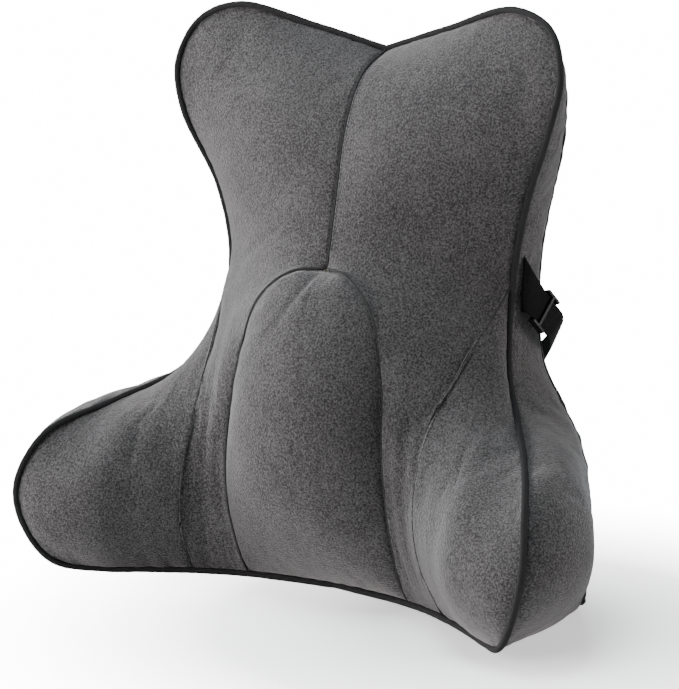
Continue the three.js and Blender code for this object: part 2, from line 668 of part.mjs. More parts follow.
// A row of teeth as a comb: a spine at the root with a tooth at every pitch.
function toothRow() {
  const outline = new THREE.Shape();
  const spine = TOOTH_ROOT - SPINE_WIDTH;
  outline.moveTo(TOOTH_ROOT, 0);
  outline.lineTo(TOOTH_ROOT, ZIP_LENGTH);
  const teeth = Math.floor(ZIP_LENGTH / TOOTH_PITCH);
  const step = ZIP_LENGTH / teeth;
  for (let k = teeth - 1; k >= 0; k--) {
    const start = k * step;
    outline.lineTo(spine, start + step);
    outline.lineTo(spine, start + TOOTH_FOOT[1] * step);
    outline.lineTo(TOOTH_TIP, start + TOOTH_END[1] * step);
    outline.lineTo(TOOTH_TIP, start + TOOTH_END[0] * step);
    outline.lineTo(spine, start + TOOTH_FOOT[0] * step);
  }
  outline.lineTo(spine, 0);
  outline.closePath();
  const row = new THREE.ExtrudeGeometry(outline, { depth: TOOTH_HEIGHT, bevelEnabled: false });
  return row.rotateX(Math.PI / 2).translate(0, toothTop, ZIP_BOTTOM_HEIGHT);
}
for (const [side, sign] of [['right', 1], ['left', -1]]) {
  const tapeEdge = TOOTH_TIP + ZIP_GAP;
  const span = [sign * tapeEdge, sign * (tapeEdge + TAPE_WIDTH)].sort((a, b) => a - b);
  const tapeEnds = [ZIP_BOTTOM_HEIGHT - 2 * STOP_LENGTH, ZIP_TOP_HEIGHT + 2 * STOP_LENGTH];
  add(`zip_tape_${side}`, box(span, [tapeFace - TAPE_THICKNESS, tapeFace], tapeEnds), 'tape');
  const row = toothRow();
  if (sign < 0) row.rotateZ(Math.PI).translate(0, 2 * toothTop - TOOTH_HEIGHT, 0);
  add(`zip_teeth_${side}`, row, 'coil');
}
const STOP_RISE = 0.6; // over the teeth
const STOP_GAP = 0.5; // from the last teeth
const stopDepth = [toothFace, toothTop + STOP_RISE];
const stopAt = (height) => box([-TOOTH_ROOT, TOOTH_ROOT], stopDepth, [height, height + STOP_LENGTH]);
add('zip_stop_bottom', stopAt(ZIP_BOTTOM_HEIGHT - STOP_LENGTH - STOP_GAP), 'metal');
add('zip_stop_top', stopAt(ZIP_TOP_HEIGHT + STOP_GAP), 'metal');

// The slider: two plates joined by a divider that runs between the rows of teeth, flanges and a bridge
const sliderTop = ZIP_TOP_HEIGHT - 1;
const sliderFoot = sliderTop - SLIDER_LENGTH;
const sliderMiddle = (sliderTop + sliderFoot) / 2;
const plateFace = slideTop + SLIDER_PLATE;
const sliderSpan = [-SLIDER_HALF_WIDTH, SLIDER_HALF_WIDTH];
const sliderEnds = [sliderFoot, sliderTop];
const flangeDepth = [tapeFace + ZIP_GAP, plateFace];
const dividerHalf = TOOTH_TIP - TOOTH_CLEARANCE;
const bridgeSpan = [-BRIDGE_WIDTH / 2, BRIDGE_WIDTH / 2];
const bridgeEnds = [sliderMiddle - BRIDGE_LENGTH / 2, sliderMiddle + BRIDGE_LENGTH / 2];
const eyeTop = plateFace + BRIDGE_HEIGHT - BRIDGE_CAP;
const eyeEnds = [bridgeEnds[0] + BRIDGE_POST, bridgeEnds[1] - BRIDGE_POST];
const sliderBoxes = [
  box(sliderSpan, [slideTop, plateFace], sliderEnds),
  box(sliderSpan, [slideBottom - SLIDER_PLATE, slideBottom], sliderEnds),
  box(
    [-dividerHalf, dividerHalf],
    [slideBottom - OVERLAP, slideTop + OVERLAP],
    [sliderTop - DIVIDER_LENGTH, sliderTop],
  ),
  box([-SLIDER_HALF_WIDTH, FLANGE - SLIDER_HALF_WIDTH], flangeDepth, sliderEnds),
  box([SLIDER_HALF_WIDTH - FLANGE, SLIDER_HALF_WIDTH], flangeDepth, sliderEnds),
  box(bridgeSpan, [plateFace - OVERLAP, plateFace + BRIDGE_HEIGHT], bridgeEnds),
];
const bridgeEye = box([-BRIDGE_WIDTH, BRIDGE_WIDTH], [plateFace, eyeTop], eyeEnds);
add('zip_slider', boxwork(sliderBoxes, [bridgeEye]), 'metal');

// The pull hangs from the bridge by its top bar, which is the axis that it turns about.
const pullY = (plateFace + eyeTop) / 2;
const pullTop = eyeEnds[1] - PULL_TOP_CLEARANCE;
const pullDepth = [pullY - PULL_THICKNESS / 2, pullY + PULL_THICKNESS / 2];
const pullPlate = box([-PULL_WIDTH / 2, PULL_WIDTH / 2], pullDepth, [pullTop - PULL_LENGTH, pullTop]);
const pullEyeHalf = BRIDGE_WIDTH / 2 + PULL_EYE_CLEARANCE;
const pullEye = box(
  [-pullEyeHalf, pullEyeHalf],
  [pullDepth[0] - OVERLAP, pullDepth[1] + OVERLAP],
  [pullTop - BRIDGE_LENGTH - 2 * PULL_THICKNESS, pullTop - PULL_THICKNESS],
);
add('zip_pull', boxwork([pullPlate], [pullEye]), 'metal');

// ---- Strap ----
// The strap leaves the side seam on a slant, runs straight through its adjuster, turns round the rear edge
// and crosses behind the cushion to the buckle.
const buckleY = BACK_SETBACK + BUCKLE_BACK_GAP;
const strapStart = vec(
  WAIST_HALF_WIDTH + STRAP_SEAM_OFFSET,
  WAIST_SETBACK + WELT_RADIUS + STRAP_SEAM_SETBACK,
  STRAP_SEAM_HEIGHT,
);
const strapAlong = vec(0.26, 0.62, -0.74).normalize();
const strapFace = vec(1, 0, 0).addScaledVector(strapAlong, -strapAlong.x).normalize();
const strapAcross = strapFace.clone().cross(strapAlong).normalize();
const strapPoint = (distance) => strapStart.clone().addScaledVector(strapAlong, distance);
const strapHalf = STRAP_WIDTH / 2;
const SLANT_LENGTH = ADJUSTER_PLACE - ADJUSTER_LENGTH / 2 - 1;
const STRAIGHT_END = ADJUSTER_PLACE + ADJUSTER_LENGTH / 2 + ADJUSTER_TRAVEL + 2;
const RUN_STEPS = 18;
const LOOP_STEPS = 6;
const loopRadius = LOOP_BAR / 2 + LOOP_CLEARANCE;

// Right-hand sections; loopX is the middle of the buckle bar that the end wraps round.
function strapSections(loopX) {
  const seamHalf = vec(0, 0.08, 1).multiplyScalar(STRAP_SEAM_LENGTH / 2);
  const wide = strapAcross.clone().multiplyScalar(strapHalf);
  const upright = vec(0, 0, strapHalf);
  const sections = [
    { middle: strapPoint(0), half: seamHalf },
    { middle: strapPoint(SLANT_LENGTH / 2), half: seamHalf.clone().lerp(wide, 0.62) },
    { middle: strapPoint(SLANT_LENGTH), half: wide },
    { middle: strapPoint(ADJUSTER_PLACE), half: wide },
    { middle: strapPoint(STRAIGHT_END), half: wide },
  ];
  const corner = strapPoint(STRAIGHT_END);
  const backRun = curveThrough([
    strapPoint(STRAIGHT_END - 6),
    corner,
    ...STRAP_CORNER.map((step) => corner.clone().add(vec(...step))),
    vec(0.62 * WAIST_HALF_WIDTH, buckleY - 7, BUCKLE_HEIGHT + 7),
    ...STRAP_RUN_IN.map((reach) => vec(loopX + reach, buckleY + 1, BUCKLE_HEIGHT)),
  ]);
  stretch(backRun, 1, 6, RUN_STEPS).forEach((middle, i) => {
    if (i === 0) return;
    const turned = wide.clone().lerp(upright, smooth(i / RUN_STEPS, 0, 0.6)).setLength(strapHalf);
    sections.push({ middle, half: turned });
  });
  for (let k = 0; k <= LOOP_STEPS; k++) {
    const angle = (Math.PI * k) / LOOP_STEPS;
    const x = loopX - loopRadius * Math.sin(angle);
    const y = buckleY + loopRadius * Math.cos(angle);
    sections.push({ middle: vec(x, y, BUCKLE_HEIGHT), half: upright });
  }
  STRAP_TAIL.forEach((reach) => {
    sections.push({ middle: vec(loopX + reach, buckleY - STRAP_TAIL_GAP, BUCKLE_HEIGHT), half: upright });
  });
  return sections;
}
const mirrorSections = (sections) =>
  sections.map(({ middle, half: wide }) => ({
    middle: vec(-middle.x, middle.y, middle.z),
    half: vec(wide.x, -wide.y, -wide.z),
  }));

// ---- Buckle ----
const socketHalf = strapHalf + BUCKLE_WALL + SOCKET_MARGIN;
const socketBack = MOUTH_X - SOCKET_LENGTH;
const socketTail = socketBack - LOOP_SLOT - LOOP_BAR;
const socketLoopX = socketTail + LOOP_BAR / 2;
const flangeX = MOUTH_X + FLANGE_GAP;
const plugBack = flangeX + PLUG_FLANGE;
const plugTail = plugBack + LOOP_SLOT + LOOP_BAR;
const plugLoopX = plugTail - LOOP_BAR / 2;
const thick = (size) => [buckleY - size / 2, buckleY + size / 2];
const tall = (from, to) => [BUCKLE_HEIGHT + from, BUCKLE_HEIGHT + to];
const pocketHalf = socketHalf - BUCKLE_WALL;

// A webbing loop: two rails and an end bar, between x = near at the body and x = far at the tail.
function webbingLoop(near, far) {
  const [low, high] = [Math.min(near, far), Math.max(near, far)];
  const bar = far > near ? [far - LOOP_BAR, far] : [far, far + LOOP_BAR];
  const loopThick = thick(LOOP_BAR_THICKNESS);
  return [
    box([low, high], loopThick, tall(-socketHalf, -strapHalf - STRAP_CLEARANCE)),
    box([low, high], loopThick, tall(strapHalf + STRAP_CLEARANCE, socketHalf)),
    box(bar, loopThick, tall(-socketHalf, socketHalf)),
  ];
}
const windowEnds = [MOUTH_X - WINDOW[1] * SOCKET_LENGTH, MOUTH_X - WINDOW[0] * SOCKET_LENGTH];
const socketBoxes = [
  box([socketBack, MOUTH_X], thick(BUCKLE_THICKNESS), tall(-socketHalf, socketHalf)),
  ...webbingLoop(socketBack + 1, socketTail),
];
const socketCuts = [
  box([MOUTH_X - POCKET_DEPTH, MOUTH_X + 1], thick(POCKET_THICKNESS), tall(-pocketHalf, pocketHalf)),
  box(windowEnds, thick(POCKET_THICKNESS), tall(-socketHalf - 1, socketHalf + 1)),
];
add('buckle_socket', boxwork(socketBoxes, socketCuts), 'plastic');

const prongTip = MOUTH_X - POCKET_DEPTH + PRONG_END_GAP;
const prongThick = thick(POCKET_THICKNESS - 2 * PLUG_CLEARANCE);
const prongOuter = pocketHalf - PLUG_CLEARANCE;
const sideProng = [prongTip + SIDE_PRONG_SETBACK, flangeX + 1];
const plugBoxes = [
  box([flangeX, plugBack], thick(BUCKLE_THICKNESS), tall(-socketHalf, socketHalf)),
  box([prongTip, flangeX + 1], prongThick, tall(-PRONG_WIDTH / 2, PRONG_WIDTH / 2)),
  box(sideProng, prongThick, tall(prongOuter - PRONG_WIDTH, prongOuter)),
  box(sideProng, prongThick, tall(-prongOuter, PRONG_WIDTH - prongOuter)),
  ...webbingLoop(plugBack - 1, plugTail),
];
add('buckle_plug', boxwork(plugBoxes), 'plastic');
add('strap_right', band(strapSections(plugLoopX), STRAP_THICKNESS), 'webbing');
add('strap_left', band(mirrorSections(strapSections(-socketLoopX)), STRAP_THICKNESS), 'webbing');

// ---- Adjusters ----
// Each adjuster has its end bars inside the strap and its middle bar outside it, so it slides along.
function adjuster() {
  const gap = STRAP_THICKNESS / 2 + STRAP_CLEARANCE;
  const outer = gap + ADJUSTER_PLATE;
  const inside = strapHalf + STRAP_CLEARANCE;
  const reach = inside + ADJUSTER_RAIL;
  const length = ADJUSTER_LENGTH / 2;
  return boxwork([
    box([-length, length], [inside, reach], [-outer, outer]),
    box([-length, length], [-reach, -inside], [-outer, outer]),
    box([-length, -length + ADJUSTER_BAR], [-reach, reach], [-outer, -gap]),
    box([length - ADJUSTER_BAR, length], [-reach, reach], [-outer, -gap]),
    box([-ADJUSTER_BAR / 2, ADJUSTER_BAR / 2], [-reach, reach], [gap, outer]),
  ]);
}
for (const [side, sign] of [['right', 1], ['left', -1]]) {
  const along = vec(sign * strapAlong.x, strapAlong.y, strapAlong.z);
  const face = vec(sign * strapFace.x, strapFace.y, strapFace.z);
  const across = face.clone().cross(along);
  const place = strapPoint(ADJUSTER_PLACE);
  const piece = add(`adjuster_${side}`, adjuster(), 'plastic');
  piece.quaternion.setFromRotationMatrix(new THREE.Matrix4().makeBasis(along, across, face));
  piece.position.set(sign * place.x, place.y, place.z);
}

// The origin goes under the middle of the whole part.
const extent = new THREE.Box3().setFromObject(cushion);
cushion.position.y = -(extent.min.y + extent.max.y) / 2;

export default cushion;
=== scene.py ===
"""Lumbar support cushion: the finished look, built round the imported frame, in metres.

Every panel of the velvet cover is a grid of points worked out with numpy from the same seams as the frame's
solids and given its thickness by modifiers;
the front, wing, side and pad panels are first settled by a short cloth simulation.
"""

import logging
import math
from dataclasses import dataclass, field
from enum import Enum, IntEnum
from typing import Sequence

import bmesh
import bpy
import numpy as np
from mathutils import Matrix, Vector


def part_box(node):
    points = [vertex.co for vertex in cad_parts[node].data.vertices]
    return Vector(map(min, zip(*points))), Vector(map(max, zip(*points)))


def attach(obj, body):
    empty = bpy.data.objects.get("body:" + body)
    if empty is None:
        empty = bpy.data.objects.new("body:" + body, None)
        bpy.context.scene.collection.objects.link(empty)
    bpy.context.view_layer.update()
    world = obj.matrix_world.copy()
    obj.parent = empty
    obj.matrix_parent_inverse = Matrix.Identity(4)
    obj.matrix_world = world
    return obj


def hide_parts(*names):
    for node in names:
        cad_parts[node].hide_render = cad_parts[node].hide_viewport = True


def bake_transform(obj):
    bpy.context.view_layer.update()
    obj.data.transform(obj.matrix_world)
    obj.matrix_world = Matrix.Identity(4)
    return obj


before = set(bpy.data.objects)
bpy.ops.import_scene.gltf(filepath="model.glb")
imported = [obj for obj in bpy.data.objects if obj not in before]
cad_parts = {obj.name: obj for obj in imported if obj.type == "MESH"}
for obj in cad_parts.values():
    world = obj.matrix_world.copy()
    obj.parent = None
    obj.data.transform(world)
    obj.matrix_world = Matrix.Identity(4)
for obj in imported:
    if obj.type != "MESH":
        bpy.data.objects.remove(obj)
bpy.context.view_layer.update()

LOG = logging.getLogger("cushion")
Array = np.ndarray
Number = float | Array
Color = tuple[float, float, float]
Socket = bpy.types.NodeSocket
TINY = 1e-12
TO_LEFT = np.array([-1, 1, 1])


class Side(Enum):
    """The two halves of the cushion, as the sign of X."""

    RIGHT = 1
    LEFT = -1

    @property
    def word(self) -> str:
        """The side's name as used in piece names."""
        return self.name.lower()

    @property
    def inner(self) -> str:
        """The edge of this side's panels that is nearer to the middle."""
        return "left" if self is Side.RIGHT else "right"

    @property
    def outer(self) -> str:
        """The edge of this side's panels that is further from the middle."""
        return "right" if self is Side.RIGHT else "left"


class Mark(IntEnum):
    """The named landmarks of the piped seam, where one stretch of it ends and the next begins."""

    NOTCH = 0
    LOBE_CORNER = 3
    WAIST = 7
    WING_CORNER = 11
    HEEL = 13
    WING_FOOT = 15
    PAD_FOOT = 16
    BASE_MIDDLE = 17


# ---------------------------------------------------------------------------------------------------
# Curves and grids
# ---------------------------------------------------------------------------------------------------


def mix(a: Number, b: Number, share: Number) -> Number:
    """The value that lies share of the way from a to b."""
    return a + (b - a) * share


def smooth(value: Number, low: float, high: float) -> Number:
    """0 below low, 1 above high, and 3t^2 - 2t^3 between them."""
    t = np.clip((value - low) / (high - low), 0, 1)
    return t * t * (3 - 2 * t)


def unit(vectors: Array) -> Array:
    """The vectors divided by their lengths."""
    return vectors / np.maximum(np.linalg.norm(vectors, axis=-1, keepdims=True), TINY)


def travelled(line: Array) -> Array:
    """Distance along a line of points, from its first point."""
    return np.r_[0, np.cumsum(np.linalg.norm(np.diff(line, axis=0), axis=1))]


class SmoothCurve:
    """A centripetal Catmull-Rom curve through landmarks.

    Between two landmarks the curve is the cubic with the landmarks' tangents, and each tangent is the
    weighted difference of the neighbouring chords, weighted by the square roots of their lengths.
    """

    SAMPLES = 60
    SHORTEST = 1e-4

    def __init__(self, landmarks: Sequence[Sequence[float]]) -> None:
        """Keeps the landmarks, with one mirrored landmark added past each end.

        Args:
            landmarks: the points that the curve passes through, in order.
        """
        points = np.asarray(landmarks, float)
        self.count = len(points)
        first = 2 * points[0] - points[1]
        last = 2 * points[-1] - points[-2]
        self.padded = np.vstack([first, points, last])

    def at(self, places: Array) -> Array:
        """Points at places counted in landmarks.

        Args:
            places: values from 0 to the number of landmarks less one.

        Returns:
            One point for each place.
        """
        places = np.asarray(places, float)
        low = np.clip(np.floor(places).astype(int), 0, self.count - 2)
        t = (places - low)[:, None]
        p0, p1, p2, p3 = (self.padded[low + k] for k in range(4))
        lengths = [np.linalg.norm(chord, axis=1, keepdims=True) for chord in (p1 - p0, p2 - p1, p3 - p2)]
        d0, d1, d2 = (np.maximum(np.sqrt(length), self.SHORTEST) for length in lengths)
        start = ((p1 - p0) / d0 - (p2 - p0) / (d0 + d1) + (p2 - p1) / d1) * d1
        end = ((p2 - p1) / d1 - (p3 - p1) / (d1 + d2) + (p3 - p2) / d2) * d1
        cubic = 2 * t**3 - 3 * t**2
        return (cubic + 1) * p1 + (t**3 - 2 * t**2 + t) * start - cubic * p2 + (t**3 - t**2) * end

    def stretch(self, start: float, end: float, steps: int) -> Array:
        """Evenly spaced points between two places.

        Args:
            start: the first place, in landmarks.
            end: the last place, in landmarks.
            steps: how many equal steps to take.

        Returns:
            steps + 1 points.
        """
        fine = self.at(np.linspace(start, end, int(self.SAMPLES * (end - start)) + 1))
        along = travelled(fine)
        goals = np.linspace(0, along[-1], steps + 1)
        return np.stack([np.interp(goals, along, fine[:, k]) for k in range(3)], axis=1)


def coons(top: Array, bottom: Array, left: Array, right: Array) -> Array:
    """A Coons patch between four edges: the blend of its top and bottom edges plus the blend of its
    side edges, less the blend of its four corners.

    Args:
        top: points of the top edge, from left to right.
        bottom: points of the bottom edge, from left to right.
        left: points of the left edge, from top to bottom.
        right: points of the right edge, from top to bottom.

    Returns:
        The patch, with rows from top to bottom and columns from left to right.
    """
    v = np.linspace(0, 1, len(left))[:, None, None]
    u = np.linspace(0, 1, len(top))[None, :, None]
    lines = mix(top[None], bottom[None], v) + mix(left[:, None], right[:, None], u)
    return lines - mix(mix(top[0], top[-1], u), mix(bottom[0], bottom[-1], u), v)


def grid_normals(grid: Array) -> Array:
    """Unit normals of a grid: its step down the rows crossed with its step along the columns.

    Args:
        grid: rows and columns of points.

    Returns:
        One unit vector for each point.
    """
    down = np.gradient(grid, axis=0)
    across = np.gradient(grid, axis=1)
    return unit(np.cross(down, across))


def shares(grid: Array) -> tuple[Array, Array]:
    """The shares v down the rows and u across the columns of a grid, one of each for every point."""
    rows, columns = grid.shape[:2]
    return np.meshgrid(np.linspace(0, 1, rows), np.linspace(0, 1, columns), indexing="ij")


def raised(grid: Array, height: Array) -> Array:
    """The grid's points moved along its normals by height."""
    return grid + grid_normals(grid) * height[..., None]


def relaxed(grid: Array, rounds: int) -> Array:
    """The grid with each inner point moved, round after round, to the mean of its four neighbours.

    Args:
        grid: rows and columns of points.
        rounds: how often the points are moved.

    Returns:
        The evened grid, with its rim where it was.
    """
    grid = grid.copy()
    for _ in range(rounds):
        around = grid[:-2, 1:-1] + grid[2:, 1:-1] + grid[1:-1, :-2] + grid[1:-1, 2:]
        grid[1:-1, 1:-1] = around / 4
    return grid


def arch(share: Array, start: float = 0.65, end: float = 0.65) -> Array:
    """sin(pi t) raised to a power that runs from start to end: a low power is a full, steep side and a
    power over 1 leaves its seam gently."""
    return np.maximum(np.sin(math.pi * share), 0) ** mix(start, end, share)


def mirrored(grid: Array) -> Array:
    """The same grid on the other half of the cushion, with its columns turned so that it faces out."""
    return (grid * TO_LEFT)[:, ::-1]


def wavering(places: Array, spacing: float, seed: int) -> Array:
    """A smooth uneven wave from -1 to 1: a sum of sines of random phase whose wavelengths lie round
    spacing.

    Args:
        places: distances in metres.
        spacing: the typical wavelength, in metres.
        seed: fixes the phases.

    Returns:
        One height for each distance.
    """
    count, shortest, longest, usual_peak = 7, 0.7, 2.4, 3.2
    chance = np.random.default_rng(seed)
    lengths = spacing * chance.uniform(shortest, longest, count)
    phases = chance.uniform(0, 2 * math.pi, count)
    waves = np.sin(2 * math.pi * places[..., None] / lengths + phases)
    return waves.sum(axis=-1) / usual_peak


@dataclass(frozen=True)
class Puckers:
    """Small creases that run square to a seam and fade away from it.

    The height is -depth x exp(-distance / fade) x (0.5 + 0.5 x an uneven wave along the seam).
    """

    depth: float = 0.0008
    fade: float = 0.010
    spacing: float = 0.008

    def height(self, along: Array, away: Array, seed: int) -> Array:
        """Height at points that lie along the seam and away from it, both in metres."""
        wave = 0.5 + 0.5 * wavering(along, self.spacing, seed)
        return -self.depth * np.exp(-away / self.fade) * np.clip(wave, 0, 1.3)


FINE_PUCKERS = Puckers()
SOFT_PUCKERS = Puckers(0.0004, 0.010, 0.008)
GATHERED_PUCKERS = Puckers(0.0011, 0.014, 0.009)
STRIP_PUCKERS = Puckers(0.0012, 0.012, 0.009)
REAR_PUCKERS = Puckers(0.0010, 0.014, 0.011)


def edge_distances(grid: Array) -> dict[str, tuple[Array, Array]]:
    """For each edge of a grid, every point's distance along that edge and away from it.

    Args:
        grid: rows and columns of points.

    Returns:
        The two distances under each of the names top, bottom, left and right.
    """
    down = np.linalg.norm(np.diff(grid, axis=0), axis=2)
    across = np.linalg.norm(np.diff(grid, axis=1), axis=2)
    from_top = np.vstack([np.zeros((1, grid.shape[1])), np.cumsum(down, axis=0)])
    from_left = np.hstack([np.zeros((grid.shape[0], 1)), np.cumsum(across, axis=1)])
    from_bottom = from_top[-1:] - from_top
    from_right = from_left[:, -1:] - from_left
    return {
        "top": (np.broadcast_to(travelled(grid[0])[None], from_top.shape), from_top),
        "bottom": (np.broadcast_to(travelled(grid[-1])[None], from_top.shape), from_bottom),
        "left": (np.broadcast_to(travelled(grid[:, 0])[:, None], from_top.shape), from_left),
        "right": (np.broadcast_to(travelled(grid[:, -1])[:, None], from_top.shape), from_right),
    }


def beside_edge(grid: Array, edge: str, distance: float) -> tuple[Array, Array]:
    """The line on a grid that lies a distance from its left or right edge.

    Args:
        grid: the surface's points.
        edge: "left" or "right".
        distance: how far in from the edge, in metres.

    Returns:
        The line's points and the surface's normals there.
    """
    away = edge_distances(grid)[edge][1]
    facing = grid_normals(grid)
    if edge == "right":
        grid, away, facing = grid[:, ::-1], away[:, ::-1], facing[:, ::-1]
    rows = np.arange(len(grid))
    place = np.clip((away < distance).sum(axis=1) - 1, 0, grid.shape[1] - 2)
    near, far = away[rows, place], away[rows, place + 1]
    share = np.clip((distance - near) / np.maximum(far - near, 1e-9), 0, 1)[:, None]
    line = mix(grid[rows, place], grid[rows, place + 1], share)
    return line, unit(mix(facing[rows, place], facing[rows, place + 1], share))


# ---------------------------------------------------------------------------------------------------
# Meshes
# ---------------------------------------------------------------------------------------------------


def grid_faces(rows: int, columns: int, round_rows: bool = False, round_columns: bool = False) -> Array:
    """Quads of a grid, facing along down x across, joined round where asked.

    Args:
        rows: how many rows of points.
        columns: how many columns of points.
        round_rows: whether the last row joins the first.
        round_columns: whether the last column joins the first.

    Returns:
        The faces, as rows of four corner numbers.
    """
    down = np.arange(rows if round_rows else rows - 1)
    right = np.arange(columns if round_columns else columns - 1)
    r, c = np.meshgrid(down, right, indexing="ij")
    r2, c2 = (r + 1) % rows, (c + 1) % columns
    quads = np.stack([r * columns + c, r2 * columns + c, r2 * columns + c2, r * columns + c2], axis=-1)
    return quads.reshape(-1, 4)


def cloth_map(mesh: bpy.types.Mesh, uv: Array) -> None:
    """Gives a mesh a UV map.

    Args:
        mesh: the mesh, with its faces made.
        uv: one pair for each corner of the mesh, in metres along and across the cloth.
    """
    layer = mesh.uv_layers.new(name="UVMap")
    corner = np.zeros(len(mesh.loops), np.int32)
    mesh.loops.foreach_get("vertex_index", corner)
    layer.data.foreach_set("uv", uv.reshape(-1, 2)[corner].astype(np.float32).ravel())


def stood(name: str, mesh: bpy.types.Mesh) -> bpy.types.Object:
    """A smooth-shaded object at the origin that holds a mesh.

    Args:
        name: the piece's name.
        mesh: its mesh.

    Returns:
        The object, in the scene.
    """
    mesh.shade_smooth()
    mesh.update()
    made = bpy.data.objects.new(name, mesh)
    bpy.context.scene.collection.objects.link(made)
    return made


def mesh_object(
    name: str, points: Array, faces: Array | list[list[int]], uv: Array | None = None
) -> bpy.types.Object:
    """A smooth-shaded mesh object at the origin.

    Args:
        name: the piece's name.
        points: its corners, in metres.
        faces: its faces, as rows of corner numbers.
        uv: one pair for each corner of the mesh, in metres along and across the cloth.

    Returns:
        The object, in the scene.
    """
    mesh = bpy.data.meshes.new(name)
    rows = faces.tolist() if isinstance(faces, np.ndarray) else faces
    mesh.from_pydata(points.reshape(-1, 3).tolist(), [], rows)
    if uv is not None:
        cloth_map(mesh, uv)
    return stood(name, mesh)


def grid_object(name: str, grid: Array, turned: bool = False) -> bpy.types.Object:
    """A mesh object from an open grid, with a UV map of the distances along it.

    Args:
        name: the piece's name.
        grid: rows and columns of points.
        turned: whether its faces are turned to the other side.

    Returns:
        The object, in the scene.
    """
    distances = edge_distances(grid)
    uv = np.stack([distances["left"][1], distances["top"][1]], axis=-1)
    faces = grid_faces(*grid.shape[:2])
    return mesh_object(name, grid, faces[:, ::-1] if turned else faces, uv)


def rings_round(along: Array, upright: Array, sides: int) -> Array:
    """A circle of unit radius square to each direction, as offsets from its middle.

    Its points are across x cos(a) + third x sin(a), where across is square to upright and to the
    direction, and third is square to both.

    Args:
        along: one unit direction for each circle.
        upright: a direction that no circle's own is along.
        sides: points round each circle.

    Returns:
        The offsets, circle by circle.
    """
    across = unit(np.cross(upright, along))
    third = np.cross(along, across)
    angle = 2 * math.pi * np.arange(sides) / sides
    return across[:, None] * np.cos(angle)[None, :, None] + third[:, None] * np.sin(angle)[None, :, None]


def tube_grid(line: Array, radius: Array, sides: int, upright: Array) -> Array:
    """A tube round a closed line: at each point a circle of that point's radius, square to the line.

    Args:
        line: points of the closed line.
        radius: one radius for each point.
        sides: points round each circle.
        upright: a direction that is never along the line.

    Returns:
        The tube's points, circle by circle.
    """
    along = unit(np.roll(line, -1, axis=0) - np.roll(line, 1, axis=0))
    return line[:, None] + rings_round(along, upright, sides) * radius[:, None, None]


def open_tube(line: Array, radius: float, sides: int) -> tuple[Array, Array]:
    """A closed rod along an open line: a circle round each point, with both ends drawn to a point.

    Args:
        line: points along the rod's middle.
        radius: the rod's radius.
        sides: points round each circle.

    Returns:
        The rod's points and its faces.
    """
    skew, point = np.array([0.31, 0.83, 0.46]), 1e-5
    size = np.full(len(line), radius)
    size[[0, -1]] = point
    rings = rings_round(unit(np.gradient(line, axis=0)), skew, sides)
    points = line[:, None] + rings * size[:, None, None]
    return points.reshape(-1, 3), grid_faces(len(line), sides, round_columns=True)


def band_angles(columns: int) -> Array:
    """The angles of the points round a band's section, none of them on an axis."""
    return 2 * math.pi * (np.arange(columns) + 0.5) / columns


def squarish(wave: Array, power: float) -> Array:
    """A sine or cosine raised to a power with its sign kept: powers under 1 make a circle squarer."""
    return np.sign(wave) * np.abs(wave) ** power


def band_grid(middles: Array, halves: Array, thickness: float, columns: int = 20) -> Array:
    """Webbing: at each section a flat ring with rounded edges, half a vector wide to each side.

    The ring's points are middle + half x cos(a) raised to 0.4 with its sign kept, and thickness / 2 x
    sin(a) raised to 0.8 along the webbing's own normal, which is its direction crossed with half.

    Args:
        middles: the middle of each section.
        halves: the vector from each middle to the webbing's edge.
        thickness: the webbing's thickness.
        columns: points round each section.

    Returns:
        The webbing's points, section by section.
    """
    along = np.gradient(middles, axis=0)
    lift = unit(np.cross(along, halves))
    angle = band_angles(columns)
    wide = squarish(np.cos(angle), 0.4)
    high = squarish(np.sin(angle), 0.8) * thickness / 2
    return middles[:, None] + halves[:, None] * wide[None, :, None] + lift[:, None] * high[None, :, None]


def band_object(name: str, grid: Array) -> bpy.types.Object:
    """A closed mesh from a band's rings, with capped ends and a UV map across and along the webbing.

    Args:
        name: the piece's name.
        grid: the band's points, section by section.

    Returns:
        The object, in the scene.
    """
    rows, columns = grid.shape[:2]
    faces = grid_faces(rows, columns, round_columns=True).tolist()
    last = (rows - 1) * columns
    faces.append(list(range(columns)))
    faces.append(list(range(last + columns - 1, last - 1, -1)))
    half = np.linalg.norm(grid[:, 0] - grid[:, columns // 2], axis=1) / 2
    across = half[:, None] * np.cos(band_angles(columns))[None]
    along = np.broadcast_to(travelled(grid.mean(axis=1))[:, None], across.shape)
    made = mesh_object(name, grid, faces, np.stack([across, along], axis=-1))
    outward(made)
    return made


def rounded_copy(node: str, name: str, radius: float, segments: int = 3) -> bpy.types.Object:
    """A copy of a frame node with its corners merged and its edges rounded.

    Args:
        node: the frame node to copy.
        name: the new piece's name.
        radius: how far each edge is rounded.
        segments: faces across each rounded edge.

    Returns:
        The object, in the scene.
    """
    merging, flat, sharp = 2e-5, math.radians(1), math.radians(30)
    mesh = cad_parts[node].data.copy()
    mesh.name = name
    work = bmesh.new()
    work.from_mesh(mesh)
    bmesh.ops.remove_doubles(work, verts=work.verts, dist=merging)
    bmesh.ops.dissolve_limit(work, angle_limit=flat, verts=work.verts, edges=work.edges)
    work.to_mesh(mesh)
    work.free()
    made = stood(name, mesh)
    bevel = made.modifiers.new("Rounded edges", "BEVEL")
    bevel.width = radius
    bevel.segments = segments
    bevel.limit_method = "ANGLE"
    bevel.angle_limit = sharp
    bevel.harden_normals = True
    return made


